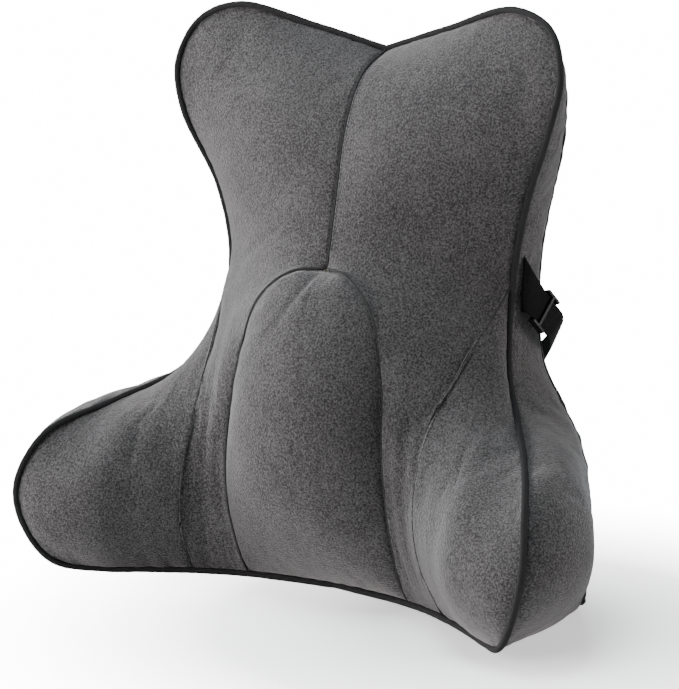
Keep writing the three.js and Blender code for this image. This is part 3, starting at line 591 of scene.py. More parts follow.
def rods(points: Array, caps: list[list[int]]) -> tuple[Array, Array]:
    """Many closed rods of the same build.

    Args:
        points: rods, rings along each rod and sides round each ring, as an array of points.
        caps: the faces of the first ring, as rows of its corner numbers.

    Returns:
        Points and faces of all the rods.
    """
    count, rings, sides = points.shape[:3]
    starts = np.arange(count)[:, None, None] * rings * sides
    walls = (grid_faces(rings, sides, round_columns=True)[None] + starts).reshape(-1, 4)
    first = np.array(caps)
    both = np.concatenate([first, first[:, ::-1] + (rings - 1) * sides])
    return points.reshape(-1, 3), np.vstack([walls, (both[None] + starts).reshape(-1, 4)])


def stitch_run(
    line: Array, facing: Array, pitch: float, length: float, radius: float
) -> tuple[Array, Array]:
    """Stitches along a line: each is a short six-sided rod with pointed ends that dips at both ends.

    Args:
        line: points along the seam.
        facing: the outward direction at each of them.
        pitch: distance from stitch to stitch.
        length: length of one stitch.
        radius: radius of the thread.

    Returns:
        Points and faces of all the stitches.
    """
    sides = 6
    along = travelled(line)
    centres = np.arange(pitch / 2, along[-1], pitch)
    places = centres[:, None] + np.linspace(-0.5, 0.5, 5)[None] * length
    middle = np.stack([np.interp(places, along, line[:, k]) for k in range(3)], axis=-1)
    out = unit(np.stack([np.interp(places, along, facing[:, k]) for k in range(3)], axis=-1))
    ahead = unit(middle[:, -1:] - middle[:, :1])
    side = unit(np.cross(out, ahead))
    thick = radius * np.array([0.25, 0.9, 1.0, 0.9, 0.25])
    lift = radius * np.array([-0.8, 0.1, 0.4, 0.1, -0.8])
    angle = 2 * math.pi * np.arange(sides) / sides
    ring = side[:, :, None] * np.cos(angle)[:, None] + out[:, :, None] * np.sin(angle)[:, None]
    points = (middle + out * lift[None, :, None])[:, :, None] + ring * thick[None, :, None, None]
    return rods(points, [[0, 1, 2, 3], [0, 3, 4, 5]])


def outward(piece: bpy.types.Object, merging: float = 0.0) -> None:
    """Turns the faces of a closed mesh to point outwards.

    Args:
        piece: the object whose mesh is turned.
        merging: corners nearer to each other than this are merged first.
    """
    work = bmesh.new()
    work.from_mesh(piece.data)
    if merging:
        bmesh.ops.remove_doubles(work, verts=work.verts, dist=merging)
    bmesh.ops.recalc_face_normals(work, faces=work.faces)
    work.to_mesh(piece.data)
    work.free()


def subdivided(piece: bpy.types.Object, levels: int = 1) -> None:
    """Adds a subdivision surface that keeps the corners of open edges.

    Args:
        piece: the object that is made finer.
        levels: how often each face is divided.
    """
    modifier = piece.modifiers.new("Fine", "SUBSURF")
    modifier.levels = levels
    modifier.render_levels = levels
    modifier.boundary_smooth = "PRESERVE_CORNERS"


def thickened(piece: bpy.types.Object, thickness: float) -> None:
    """Gives an open surface its thickness, inwards.

    Args:
        piece: the object with the surface.
        thickness: the cloth's thickness.
    """
    modifier = piece.modifiers.new("Cloth thickness", "SOLIDIFY")
    modifier.thickness = thickness
    modifier.offset = -1
    modifier.use_even_offset = False


# ---------------------------------------------------------------------------------------------------
# Finishes
# ---------------------------------------------------------------------------------------------------


class NodeBoard:
    """A material's nodes, with short calls that add and join them."""

    def __init__(self, name: str) -> None:
        """Starts a material whose shader stands alone.

        Args:
            name: the material's name.
        """
        self.material = bpy.data.materials.new(name)
        self.material.use_nodes = True
        self.tree = self.material.node_tree
        self.shader = self.tree.nodes["Principled BSDF"]

    def node(self, kind: str, **values: str) -> bpy.types.Node:
        """Adds a node and sets its properties.

        Args:
            kind: the node's type.
            values: properties by name.

        Returns:
            The node.
        """
        made = self.tree.nodes.new(kind)
        for key, value in values.items():
            setattr(made, key, value)
        return made

    def link(self, source: Socket, target: Socket) -> None:
        """Joins two sockets."""
        self.tree.links.new(source, target)

    def coordinates(self, kind: str = "Object") -> Socket:
        """The piece's own coordinates: Object, or UV."""
        return self.node("ShaderNodeTexCoord").outputs[kind]

    def noise(self, source: Socket, scale: float, detail: float = 2, rough: float = 0.5) -> Socket:
        """The value of a noise pattern.

        Args:
            source: the coordinates that it reads.
            scale: how many of its patches fit in a metre.
            detail: how many finer patterns are laid over it.
            rough: how strong the finer patterns are.

        Returns:
            The pattern's value.
        """
        made = self.node("ShaderNodeTexNoise")
        made.inputs["Scale"].default_value = scale
        made.inputs["Detail"].default_value = detail
        made.inputs["Roughness"].default_value = rough
        self.link(source, made.inputs["Vector"])
        return made.outputs["Fac"]

    def ramp(self, source: Socket, stops: Sequence[tuple[float, Color]]) -> Socket:
        """A colour for each value of source.

        Args:
            source: the value that is read.
            stops: values in rising order, each with its colour.

        Returns:
            The colour.
        """
        made = self.node("ShaderNodeValToRGB")
        elements = made.color_ramp.elements
        while len(elements) < len(stops):
            elements.new(0.5)
        for element, (place, color) in zip(elements, stops):
            element.position = place
            element.color = (*color, 1)
        self.link(source, made.inputs["Fac"])
        return made.outputs["Color"]

    def math(self, operation: str, *values: Socket | float) -> Socket:
        """A Math node.

        Args:
            operation: what it works out.
            values: its inputs in order: a number is set on the socket and a socket is linked to it.

        Returns:
            The node's value.
        """
        made = self.node("ShaderNodeMath", operation=operation)
        for socket, value in zip(made.inputs, values):
            if isinstance(value, (int, float)):
                socket.default_value = value
            else:
                self.link(value, socket)
        return made.outputs["Value"]

    def blend(self, first: Socket, share: float, second: Socket) -> Socket:
        """The sum of two values, the second at its share and the first at what is left."""
        kept = self.math("MULTIPLY", first, 1 - share)
        return self.math("ADD", kept, self.math("MULTIPLY", second, share))

    def bump(self, height: Socket, distance: float, strength: float, under: Socket | None = None) -> Socket:
        """A bump from a height value.

        Args:
            height: the value, from 0 to 1.
            distance: the height in metres of a value of 1.
            strength: how much of the bump shows.
            under: another bump that it lies on.

        Returns:
            The bumped normal.
        """
        made = self.node("ShaderNodeBump")
        made.inputs["Strength"].default_value = strength
        made.inputs["Distance"].default_value = distance
        self.link(height, made.inputs["Height"])
        if under is not None:
            self.link(under, made.inputs["Normal"])
        return made.outputs["Normal"]

    def wire(self, **sources: Socket) -> None:
        """Links sockets to the shader's own; underscores stand for spaces."""
        for key, source in sources.items():
            self.link(source, self.shader.inputs[key.replace("_", " ")])

    def set(self, **values: float | tuple[float, ...]) -> None:
        """Sets the shader's own sockets; underscores stand for spaces."""
        for key, value in values.items():
            self.shader.inputs[key.replace("_", " ")].default_value = value


@dataclass(frozen=True)
class Velvet:
    """Short-pile velvet: a fine speckle of fibre ends over broad patches of brushed pile."""

    dark: Color = (0.020, 0.0192, 0.0196)
    light: Color = (0.096, 0.091, 0.092)
    grain: float = 780.0
    brushed: float = 26.0
    crushed: float = 140.0

    def build(self, name: str) -> bpy.types.Material:
        """Makes the material.

        Args:
            name: the material's name.

        Returns:
            The material.
        """
        board = NodeBoard(name)
        place = board.coordinates()
        broad = board.noise(place, self.brushed, 3, 0.6)
        fine = board.noise(place, self.grain, 1, 0.5)
        tone = board.blend(broad, 0.8, fine)
        pile = board.bump(fine, 0.0010, 0.8)
        board.wire(
            Base_Color=board.ramp(tone, [(0.37, self.dark), (0.70, self.light)]),
            Normal=board.bump(board.noise(place, self.crushed, 3), 0.0004, 0.35, pile),
        )
        board.set(Roughness=0.88, Specular_IOR_Level=0.12)
        board.set(Sheen_Weight=0.55, Sheen_Roughness=0.42, Sheen_Tint=(0.62, 0.60, 0.61, 1))
        return board.material


@dataclass(frozen=True)
class WovenTape:
    """A woven band: ribs along one direction of its UV map, crossed by finer threads.

    The weave's height is 0.5 + 0.5 x sin(2 pi u / rib) x sin(2 pi v / pick).
    """

    dark: Color
    light: Color
    rib: float
    pick: float
    depth: float = 0.0003
    fibre: float = 1400.0

    def build(self, name: str) -> bpy.types.Material:
        """Makes the material.

        Args:
            name: the material's name.

        Returns:
            The material.
        """
        board = NodeBoard(name)
        parts = board.node("ShaderNodeSeparateXYZ")
        board.link(board.coordinates("UV"), parts.inputs[0])
        ribs = board.math("SINE", board.math("MULTIPLY", parts.outputs[0], 2 * math.pi / self.rib))
        picks = board.math("SINE", board.math("MULTIPLY", parts.outputs[1], 2 * math.pi / self.pick))
        weave = board.math("MULTIPLY_ADD", board.math("MULTIPLY", ribs, picks), 0.5, 0.5)
        tone = board.blend(weave, 0.45, board.noise(board.coordinates(), self.fibre))
        board.wire(
            Base_Color=board.ramp(tone, [(0.25, self.dark), (0.8, self.light)]),
            Normal=board.bump(weave, self.depth, 0.8),
        )
        board.set(Roughness=0.85, Specular_IOR_Level=0.1)
        return board.material


@dataclass(frozen=True)
class Moulded:
    """Moulded plastic or painted metal: a faint orange-peel bump and slightly uneven gloss.

    The roughness is its middle value plus or minus half the gloss spread, and worn places are lighter
    than the colour by the wear.
    """

    color: Color
    roughness: float
    metallic: float = 0.0
    peel: float = 0.00005
    gloss_spread: float = 0.18
    wear: float = 1.6

    def build(self, name: str) -> bpy.types.Material:
        """Makes the material.

        Args:
            name: the material's name.

        Returns:
            The material.
        """
        board = NodeBoard(name)
        place = board.coordinates()
        lighter = tuple(self.wear * value + 0.004 for value in self.color)
        patches = board.noise(place, 180, 3)
        least = self.roughness - self.gloss_spread / 2
        board.wire(
            Base_Color=board.ramp(patches, [(0.35, self.color), (0.8, lighter)]),
            Roughness=board.math("MULTIPLY_ADD", patches, self.gloss_spread, least),
            Normal=board.bump(board.noise(place, 2600, 1), self.peel, 0.6),
        )
        board.set(Metallic=self.metallic, Specular_IOR_Level=0.25)
        return board.material


@dataclass(frozen=True)
class OpenFoam:
    """Slow-recovery foam: small open cells, slightly uneven in colour."""

    dark: Color = (0.62, 0.54, 0.38)
    light: Color = (0.82, 0.76, 0.60)
    cells: float = 900.0

    def build(self, name: str) -> bpy.types.Material:
        """Makes the material.

        Args:
            name: the material's name.

        Returns:
            The material.
        """
        board = NodeBoard(name)
        place = board.coordinates()
        pattern = board.node("ShaderNodeTexVoronoi")
        pattern.inputs["Scale"].default_value = self.cells
        board.link(place, pattern.inputs["Vector"])
        cell = pattern.outputs["Distance"]
        uneven = board.math("MULTIPLY", board.noise(place, 30, 3), 0.6)
        tone = board.math("MULTIPLY_ADD", cell, 0.6, uneven)
        board.wire(
            Base_Color=board.ramp(tone, [(0.2, self.dark), (0.8, self.light)]),
            Normal=board.bump(cell, 0.0006, 0.7),
        )
        board.set(Roughness=0.95, Specular_IOR_Level=0.2)
        return board.material


@dataclass(frozen=True)
class PaleFloor:
    """A pale matt floor with painted light: a white glow, for camera rays only, that turns it into a bright
    backdrop away from the cushion.

    The glow's share rises with the distance from the middle of the cushion's shadow, and near the cushion a
    small share of it is painted light over the floor's real shading and shadow.
    """

    dark: Color = (0.88, 0.875, 0.87)
    light: Color = (0.91, 0.905, 0.90)
    shadow_middle: tuple[float, float, float] = (0.14, -0.02, 0)
    # distances from the shadow's middle, each with the share of painted glow there
    fade: tuple[tuple[float, float], ...] = ((0.08, 0.05), (0.19, 0.15), (0.26, 0.4), (0.38, 1))
    # strength of the painted glow that the camera sees on the floor
    backdrop: float = 16.0

    def build(self, name: str) -> bpy.types.Material:
        """Makes the material.

        Args:
            name: the material's name.

        Returns:
            The material.
        """
        board = NodeBoard(name)
        place = board.coordinates()
        tone = board.noise(place, 3)
        board.wire(Base_Color=board.ramp(tone, [(0, self.dark), (1, self.light)]))
        board.set(Roughness=0.6, Specular_IOR_Level=0.2)
        shifted = board.node("ShaderNodeVectorMath", operation="SUBTRACT")
        board.link(place, shifted.inputs[0])
        shifted.inputs[1].default_value = self.shadow_middle
        away = board.node("ShaderNodeVectorMath", operation="LENGTH")
        board.link(shifted.outputs[0], away.inputs[0])
        # painted light: a share of glow that grows away from the shadow's middle; it is small but not nil
        # beside the cushion, where it lightens the real shadow
        far = board.ramp(away.outputs["Value"], [(reach, (share,) * 3) for reach, share in self.fade])
        painted_glow_share = board.math("MULTIPLY", far, board.node("ShaderNodeLightPath").outputs["Is Camera Ray"])
        glow = board.node("ShaderNodeEmission")
        glow.inputs["Strength"].default_value = self.backdrop
        both = board.node("ShaderNodeMixShader")
        board.link(painted_glow_share, both.inputs[0])
        board.link(board.shader.outputs[0], both.inputs[1])
        board.link(glow.outputs[0], both.inputs[2])
        board.link(both.outputs[0], board.tree.nodes["Material Output"].inputs["Surface"])
        return board.material


class Finishes:
    """All the cushion's finishes, made once and shared."""

    def __init__(self) -> None:
        """Builds each material."""
        self.velvet = Velvet().build("grey_velvet")
        self.welt = WovenTape(
            dark=(0.007, 0.007, 0.0075), light=(0.032, 0.031, 0.032), rib=0.0016, pick=0.0012, depth=0.0002
        ).build("welt_cloth")
        self.webbing = WovenTape(
            dark=(0.0015, 0.0015, 0.0018), light=(0.008, 0.008, 0.0085), rib=0.0021, pick=0.0016
        ).build("strap_webbing")
        self.tape = WovenTape(
            dark=(0.010, 0.010, 0.011), light=(0.030, 0.030, 0.032), rib=0.0009, pick=0.0007
        ).build("zip_tape_cloth")
        self.thread = WovenTape(
            dark=(0.012, 0.012, 0.012), light=(0.05, 0.05, 0.05), rib=0.0006, pick=0.0006
        ).build("sewing_thread")
        self.teeth = Moulded((0.012, 0.012, 0.013), roughness=0.42).build("zip_teeth_nylon")
        self.metal = Moulded(
            (0.030, 0.030, 0.033), roughness=0.34, metallic=0.85
        ).build("zip_painted_metal")
        self.plastic = Moulded((0.0025, 0.0025, 0.003), roughness=0.5).build("buckle_acetal")
        self.foam = OpenFoam().build("cream_foam")


def dress(
    piece: bpy.types.Object, material: bpy.types.Material, slot: str, body: str | None, *nodes: str
) -> None:
    """Gives a piece its finish, record slot and body, and logs it.

    Args:
        piece: the piece.
        material: its finish.
        slot: not used.
        body: the body that the piece moves with, or none for a piece that crosses a joint.
        nodes: the frame nodes that the piece stands for.
    """
    piece.data.materials.clear()
    piece.data.materials.append(material)
    if body:
        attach(piece, body)
    if nodes:
        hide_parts(*nodes)
    LOG.info("%s: %d corners, on %s", piece.name, len(piece.data.vertices), body or "two bodies")


# ---------------------------------------------------------------------------------------------------
# The cushion's form
# ---------------------------------------------------------------------------------------------------


@dataclass
class CushionForm:
    """The driving sizes of the cushion and the seams and surfaces that follow from them.

    The first fields are the frame's own driving sizes. The setbacks are measured from a plane across the
    cushion, and origin_y brings them into the frame. Each of the bulges is the side strip's at one of
    the outline's landmarks, counted in bulge units, and each pleat is its direction and half its spread,
    in degrees, and its depth.
    """

    ear_half_width: float = 0.168
    waist_half_width: float = 0.126
    wing_half_width: float = 0.221
    ear_top: float = 0.427
    notch_height: float = 0.396
    waist_height: float = 0.238
    wing_top: float = 0.105
    wing_tip: float = 0.062
    wing_heel: float = 0.014
    notch_setback: float = 0.044
    waist_setback: float = 0.019
    ear_reach: float = 0.006
    wing_reach: float = 0.127
    pad_half_width: float = 0.072
    pad_top: float = 0.241
    pad_setback: float = -0.033
    back_setback: float = 0.068
    back_flat_half: float = 0.070
    back_sweep: float = 0.112
    rear_narrowing: float = 0.965
    rear_top_drop: float = 0.013
    rear_top_curl: float = 0.009
    ear_curl: float = 0.040
    edge_lift: float = 0.003
    lobe_puff: float = 0.017
    flank_puff: float = 0.006
    pad_puff: float = 0.036
    wing_puff: float = 0.027
    ledge: float = 0.0035
    fineness: int = 6
    strip_columns: int = 22
    rear_columns: int = 34
    easing: int = 90
    eased_reach: int = 26
    pleat_reach: float = 0.045
    floor_gap: float = 0.0002
    bulge_unit: float = 0.00106
    bulges: tuple[int, ...] = (0, 1, 1, 2, 3, 4, 4, 5, 4, 5, 8, 17, 23, 2, 0, 0, 0, 0)
    pleat_list: tuple[tuple[float, float, float], ...] = (
        (-31, 5, 0.0042),
        (-47, 4, 0.0020),
        (-62, 4, 0.0016),
        (-17, 4, 0.0010),
        (14, 5, 0.0014),
        (38, 5, 0.0014),
        (60, 5, 0.0012),
    )

    def __post_init__(self) -> None:
        """Works out the seams, in the order in which they lean on each other."""
        self.origin_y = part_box("back_panel_right")[1].y - self.back_setback
        lengths = {"lobe": 6, "side": 8, "shoulder": 3, "flank": 7, "wing": 6, "seam": 10}
        self.steps = {name: length * self.fineness for name, length in lengths.items()}
        self.outline = SmoothCurve(self.outline_landmarks())
        self.stretches = self.outline_stretches()
        self.front = [self.lifted(self.outline.stretch(a, b, n)) for a, b, n in self.stretches]
        self.make_seams()
        self.upper, self.wing = self.eased_panels()

    def ear_to_waist(self, share: float) -> float:
        """A half width between the lobe's and the waist's."""
        return mix(self.ear_half_width, self.waist_half_width, share)

    def waist_to_wing(self, share: float) -> float:
        """A half width between the waist's and the wing's."""
        return mix(self.waist_half_width, self.wing_half_width, share)

    def waist_to_top(self, share: float) -> float:
        """A height between the waist's and the lobes' top."""
        return mix(self.waist_height, self.ear_top, share)

    def wing_to_waist(self, share: float) -> float:
        """A height between the wing's top and the waist's."""
        return mix(self.wing_top, self.waist_height, share)

    def waist_to_reach(self, share: float) -> float:
        """A setback between the waist's and the wing tips'."""
        return mix(self.waist_setback, -self.wing_reach, share)

    def outline_landmarks(self) -> list[tuple[float, float, float]]:
        """Landmarks of the piped seam, from the notch over the lobe, waist and wing to the base.

        Returns:
            One point for each landmark.
        """
        notch, ear = self.notch_setback, self.ear_reach
        return [
            (0, notch, self.notch_height),
            (0.35 * self.ear_half_width, mix(notch, ear, 0.21), mix(self.notch_height, self.ear_top, 0.52)),
            (0.72 * self.ear_half_width, mix(notch, ear, 0.55), self.ear_top),
            (0.92 * self.ear_half_width, mix(notch, ear, 0.72), self.waist_to_top(0.93)),
            (self.ear_half_width, ear + 0.002, self.waist_to_top(0.76)),
            (self.ear_to_waist(0.17), ear, self.waist_to_top(0.57)),
            (self.ear_to_waist(0.74), mix(ear, self.waist_setback, 0.85), self.waist_to_top(0.28)),
            (self.waist_half_width, self.waist_setback, self.waist_height),
            (self.waist_to_wing(0.04), self.waist_to_reach(0.08), self.wing_to_waist(0.53)),
            (self.waist_to_wing(0.27), self.waist_to_reach(0.25), self.wing_to_waist(0.32)),
            (self.waist_to_wing(0.59), self.waist_to_reach(0.53), self.wing_to_waist(0.17)),
            (self.waist_to_wing(0.9), self.waist_to_reach(0.86), self.wing_top),
            (self.wing_half_width, -self.wing_reach, self.wing_tip),
            (self.waist_to_wing(0.78), self.waist_to_reach(0.92), self.wing_heel),
            (self.waist_to_wing(0.41), self.waist_to_reach(0.7), self.edge_lift),
            (self.pad_half_width + 0.040, self.waist_to_reach(0.47), self.edge_lift),
            (self.pad_half_width, self.waist_to_reach(0.36), self.edge_lift),
            (0, self.waist_to_reach(0.28), self.edge_lift),
        ]

    def outline_stretches(self) -> list[tuple[int, int, int]]:
        """The outline's stretches between its named landmarks.

        Returns:
            For each stretch its first and last landmark and its steps.
        """
        marks = list(Mark)
        counts = ("lobe", "side", "wing", "seam", "wing", "lobe", "shoulder")
        return [(a, b, self.steps[count]) for a, b, count in zip(marks, marks[1:], counts)]

    def lifted(self, points: Array) -> Array:
        """The points, none of them lower than the lower seams.

        Args:
            points: any points.

        Returns:
            The points, moved up where they were too low.
        """
        points = points.copy()
        points[:, 2] = np.maximum(points[:, 2], self.edge_lift)
        return points

    def top_share(self, z: Array) -> Array:
        """How far a height lies in the curled top of the rear face, from 0 to 1."""
        return smooth(z, mix(self.waist_height, self.ear_top, 0.56), self.ear_top)

    def rear_y(self, x: Array, z: Array) -> Array:
        """The rear face: flat in the middle, swept forward by the cube of the distance past the flat,
        and curled forward over the top.

        Args:
            x: distances from the middle plane.
            z: heights.

        Returns:
            The setback at each of them.
        """
        past_flat = np.maximum(0, np.abs(x) - self.back_flat_half)
        beyond = past_flat / (self.wing_half_width - self.back_flat_half)
        lobe = smooth(z, self.waist_to_top(0.2), self.waist_to_top(0.7))
        curl = self.rear_top_curl * self.top_share(z) + self.ear_curl * lobe * beyond**2
        return self.back_setback - self.back_sweep * beyond**3 - curl

    def to_rear(self, points: Array) -> Array:
        """Points of the front outline carried over to the rear outline: drawn in, dropped at the top
        and laid on the rear face.

        Args:
            points: points of the front outline.

        Returns:
            The rear outline's points.
        """
        x = points[..., 0] * self.rear_narrowing
        z = points[..., 2] - self.rear_top_drop * self.top_share(points[..., 2])
        return np.stack([x, self.rear_y(x, z), z], axis=-1)

    def make_seams(self) -> None:
        """The seams across the front: down the middle, round the pad, and round each wing."""
        notch, pad, half = self.notch_setback, self.pad_setback, self.pad_half_width
        marks = self.outline.padded[1:-1]
        top = (0, pad, self.pad_top)
        crown = SmoothCurve([top, (0, pad - 0.022, self.pad_top / 2), marks[Mark.BASE_MIDDLE]])
        middle = SmoothCurve([
            marks[Mark.NOTCH],
            *[(0, mix(notch, pad, back), mix(self.notch_height, self.pad_top, down))
              for back, down in ((0.42, 0.11), (0.69, 0.33), (0.86, 0.68))],
            top,
        ])
        around = SmoothCurve([
            top,
            *[(wide * half, pad - deep, high * self.pad_top)
              for wide, deep, high in ((0.34, 0.011, 0.99), (0.69, 0.018, 0.9), (0.88, 0.023, 0.71),
                                       (0.96, 0.031, 0.47), (1, 0.027, 0.27), (1, 0.011, 0.08))],
            marks[Mark.PAD_FOOT],
        ])
        wing = SmoothCurve([
            marks[Mark.WAIST],
            *[(half + out, self.waist_to_reach(reach), high * self.waist_height)
              for out, reach, high in ((0.035, 0.25, 0.75), (0.029, 0.54, 0.55),
                                       (0.027, 0.67, 0.36), (0.030, 0.65, 0.18))],
            marks[Mark.WING_FOOT],
        ])
        self.middle_line = middle.stretch(0, 4, self.steps["side"])
        self.pad_shoulder = around.stretch(0, 2, self.steps["shoulder"])
        self.pad_flank = around.stretch(2, 7, self.steps["flank"])
        self.pad_crown = crown.stretch(0, 2, self.steps["flank"])
        self.wing_line = wing.stretch(0, 5, self.steps["seam"])

    def placed(self, grid: Array) -> Array:
        """The grid moved into the frame."""
        return grid + np.array([0, self.origin_y, 0])

    def upper_panel(self) -> Array:
        """The right upper panel, from the lobe down beside the pad to the base.

        It is a Coons patch raised by a swelling that is fuller on the lobe than beside the pad, less a
        narrow flat ledge along the middle seam.

        Returns:
            The panel's points.
        """
        evening, settling = 250, 12
        inner = np.vstack([self.middle_line, self.pad_shoulder[1:], self.pad_flank[1:]])
        outer = np.vstack([self.front[1], self.wing_line[1:]])
        flat = relaxed(coons(self.front[0], self.front[5][::-1], inner, outer), evening)
        v, u = shares(flat)
        width = edge_distances(flat)["left"][1][:, -1:]
        beside = self.ledge * (1 - smooth(v, 0.38, 0.46))
        past = np.clip((u * width - beside) / (width - beside), 0, 1)
        outer_power = mix(0.65, 0.9, smooth(v, 0.4, 0.55))
        swell = mix(self.lobe_puff, self.flank_puff, smooth(v, 0.25, 0.5))
        height = swell * arch(past, 0.65, outer_power) * np.minimum(1, 1.25 * arch(v))
        return relaxed(raised(flat, height), settling)

    def wing_panel(self) -> Array:
        """The right wing panel: a Coons patch raised by an arch that leaves the wing seam gently.

        Returns:
            The panel's points.
        """
        evening, settling = 60, 6
        flat = relaxed(coons(self.front[2], self.front[4][::-1], self.wing_line, self.front[3]), evening)
        v, u = shares(flat)
        return relaxed(raised(flat, self.wing_puff * arch(u, 1.3, 0.65) * arch(v, 1, 1)), settling)

    def eased_panels(self) -> tuple[Array, Array]:
        """The upper and wing panels, eased into each other across the seam between them.

        The seam's points and those beside it are relaxed together and follow only outwards or inwards,
        so the seam lies on the slope of one swelling and not in a groove.

        Returns:
            The upper panel and the wing panel.
        """
        upper, wing = self.upper_panel(), self.wing_panel()
        first, reach = self.steps["side"], self.eased_reach
        both = np.concatenate([upper[first:, -reach:], wing[:, 1:reach]], axis=1)
        normals = grid_normals(both)
        shift = relaxed(both, self.easing) - both
        middling = 1 - np.abs(np.linspace(-1, 1, both.shape[1]))[None, :, None]
        follow = smooth(middling, 0, 0.6)
        eased = both + normals * np.sum(shift * normals, axis=2, keepdims=True) * follow
        upper[first:, -reach:] = eased[:, :reach]
        wing[:, :reach] = eased[:, reach - 1 :]
        return upper, wing

    def pad_panel(self) -> Array:
        """The whole raised pad, from its left flank to its right flank.

        It is a Coons patch whose top rows are eased across, raised by cos(pi u / 2) raised to 0.6, where u
        runs from the middle to the flank, and pleated at the top.

        Returns:
            The panel's points.
        """
        evening, settling = 40, 6
        flat = coons(self.pad_shoulder, self.front[6][::-1], self.pad_crown, self.pad_flank)
        across = np.linspace(0, 1, flat.shape[1])
        eased = [np.interp(across**2, across, row) for row in flat[..., 1]]
        flat[..., 1] = mix(flat[..., 1], np.array(eased), smooth(shares(flat)[0], 0, 0.3))
        whole = np.concatenate([mirrored(flat)[:, :-1], flat], axis=1)
        v, across = shares(whole)
        u = np.abs(2 * across - 1)
        down = np.minimum(1, 1.1 * arch(0.04 + 0.96 * v)) * (v > 0)
        crown = raised(relaxed(whole, evening), self.pad_puff * np.cos(u * math.pi / 2) ** 0.6 * down)
        return raised(relaxed(crown, settling), self.pleats(whole))

    def pleats(self, pad: Array) -> Array:
        """Pleats that fan out of the top of the pad.

        Each is a Gaussian groove in the direction from the pad's top, deepest a little way down and fading
        with exp(-distance / pleat_reach).

        Args:
            pad: the pad's points.

        Returns:
            A height for each of them.
        """
        started = 0.012
        across = pad[..., 0]
        down = self.pad_top - pad[..., 2]
        angle = np.degrees(np.arctan2(across, np.maximum(down, 1e-6)))
        away = np.hypot(across, down)
        height = np.zeros(across.shape)
        for turn, spread, depth in self.pleat_list:
            height -= depth * np.exp(-(((angle - turn) / spread) ** 2))
        return height * smooth(away, 0, started) * np.exp(-away / self.pleat_reach)

    def outline_points(self) -> tuple[Array, Array]:
        """The whole right half of the front outline.

        Returns:
            Its points, and each point's place in landmarks.
        """
        points = np.vstack([self.front[0], *[part[1:] for part in self.front[1:]]])
        places = [np.linspace(a, b, n + 1) for a, b, n in self.stretches]
        return points, np.concatenate([places[0], *[part[1:] for part in places[1:]]])

    def strip(self) -> Array:
        """The side strip and base: rows along the outline, columns from the front seam to the rear.

        Each row is a straight line from seam to seam, moved outwards by the bulge there times
        4w(1 - w) raised to 0.75, and laid on the floor under the base.

        Returns:
            The strip's points, from the notch to the middle of the base.
        """
        evened = 41
        front, places = self.outline_points()
        rear = self.to_rear(front)
        bulge = np.interp(places, np.arange(len(self.bulges)), np.array(self.bulges) * self.bulge_unit)
        window = np.hanning(evened) / np.hanning(evened).sum()
        bulge = np.convolve(np.pad(bulge, evened // 2, mode="edge"), window, mode="valid")
        out = unit(np.cross(np.gradient(front, axis=0), rear - front))
        out[[0, -1], 0] = 0
        w = np.linspace(0, 1, self.strip_columns)
        grid = mix(front[:, None], rear[:, None], w[None, :, None])
        grid = grid + out[:, None] * (bulge[:, None] * (4 * w * (1 - w))[None] ** 0.75)[..., None]
        under = smooth(places, Mark.HEEL, Mark.WING_FOOT)[:, None]
        down = smooth(np.minimum(w, 1 - w), 0, 0.15)[None]
        grid[..., 2] = np.maximum(self.floor_gap, grid[..., 2] * (1 - under * down))
        return grid

    def rear_panel(self, mouth_half: float, mouth: tuple[float, float]) -> Array:
        """The right rear panel: straight rows from the middle to the rear outline, on the rear face.

        Args:
            mouth_half: half the width of the zip's mouth.
            mouth: lowest and highest height of the zip's mouth.

        Returns:
            The panel's points, facing into the cushion.
        """
        half_gap, taper = 0.0003, 0.012
        outline = self.to_rear(self.outline_points()[0])
        heights = np.linspace(outline[0, 2], outline[-1, 2], len(outline))
        above = smooth(heights, mouth[0] - taper, mouth[0])
        inside = above * (1 - smooth(heights, mouth[1], mouth[1] + taper))
        inner = np.stack([half_gap + mouth_half * inside, 0 * heights, heights], axis=1)
        w = np.linspace(0, 1, self.rear_columns)[None, :, None] ** 0.9
        grid = mix(inner[:, None], outline[:, None], w)
        grid[..., 1] = self.rear_y(grid[..., 0], grid[..., 2])
        return grid


# ---------------------------------------------------------------------------------------------------
# Cloth
# ---------------------------------------------------------------------------------------------------


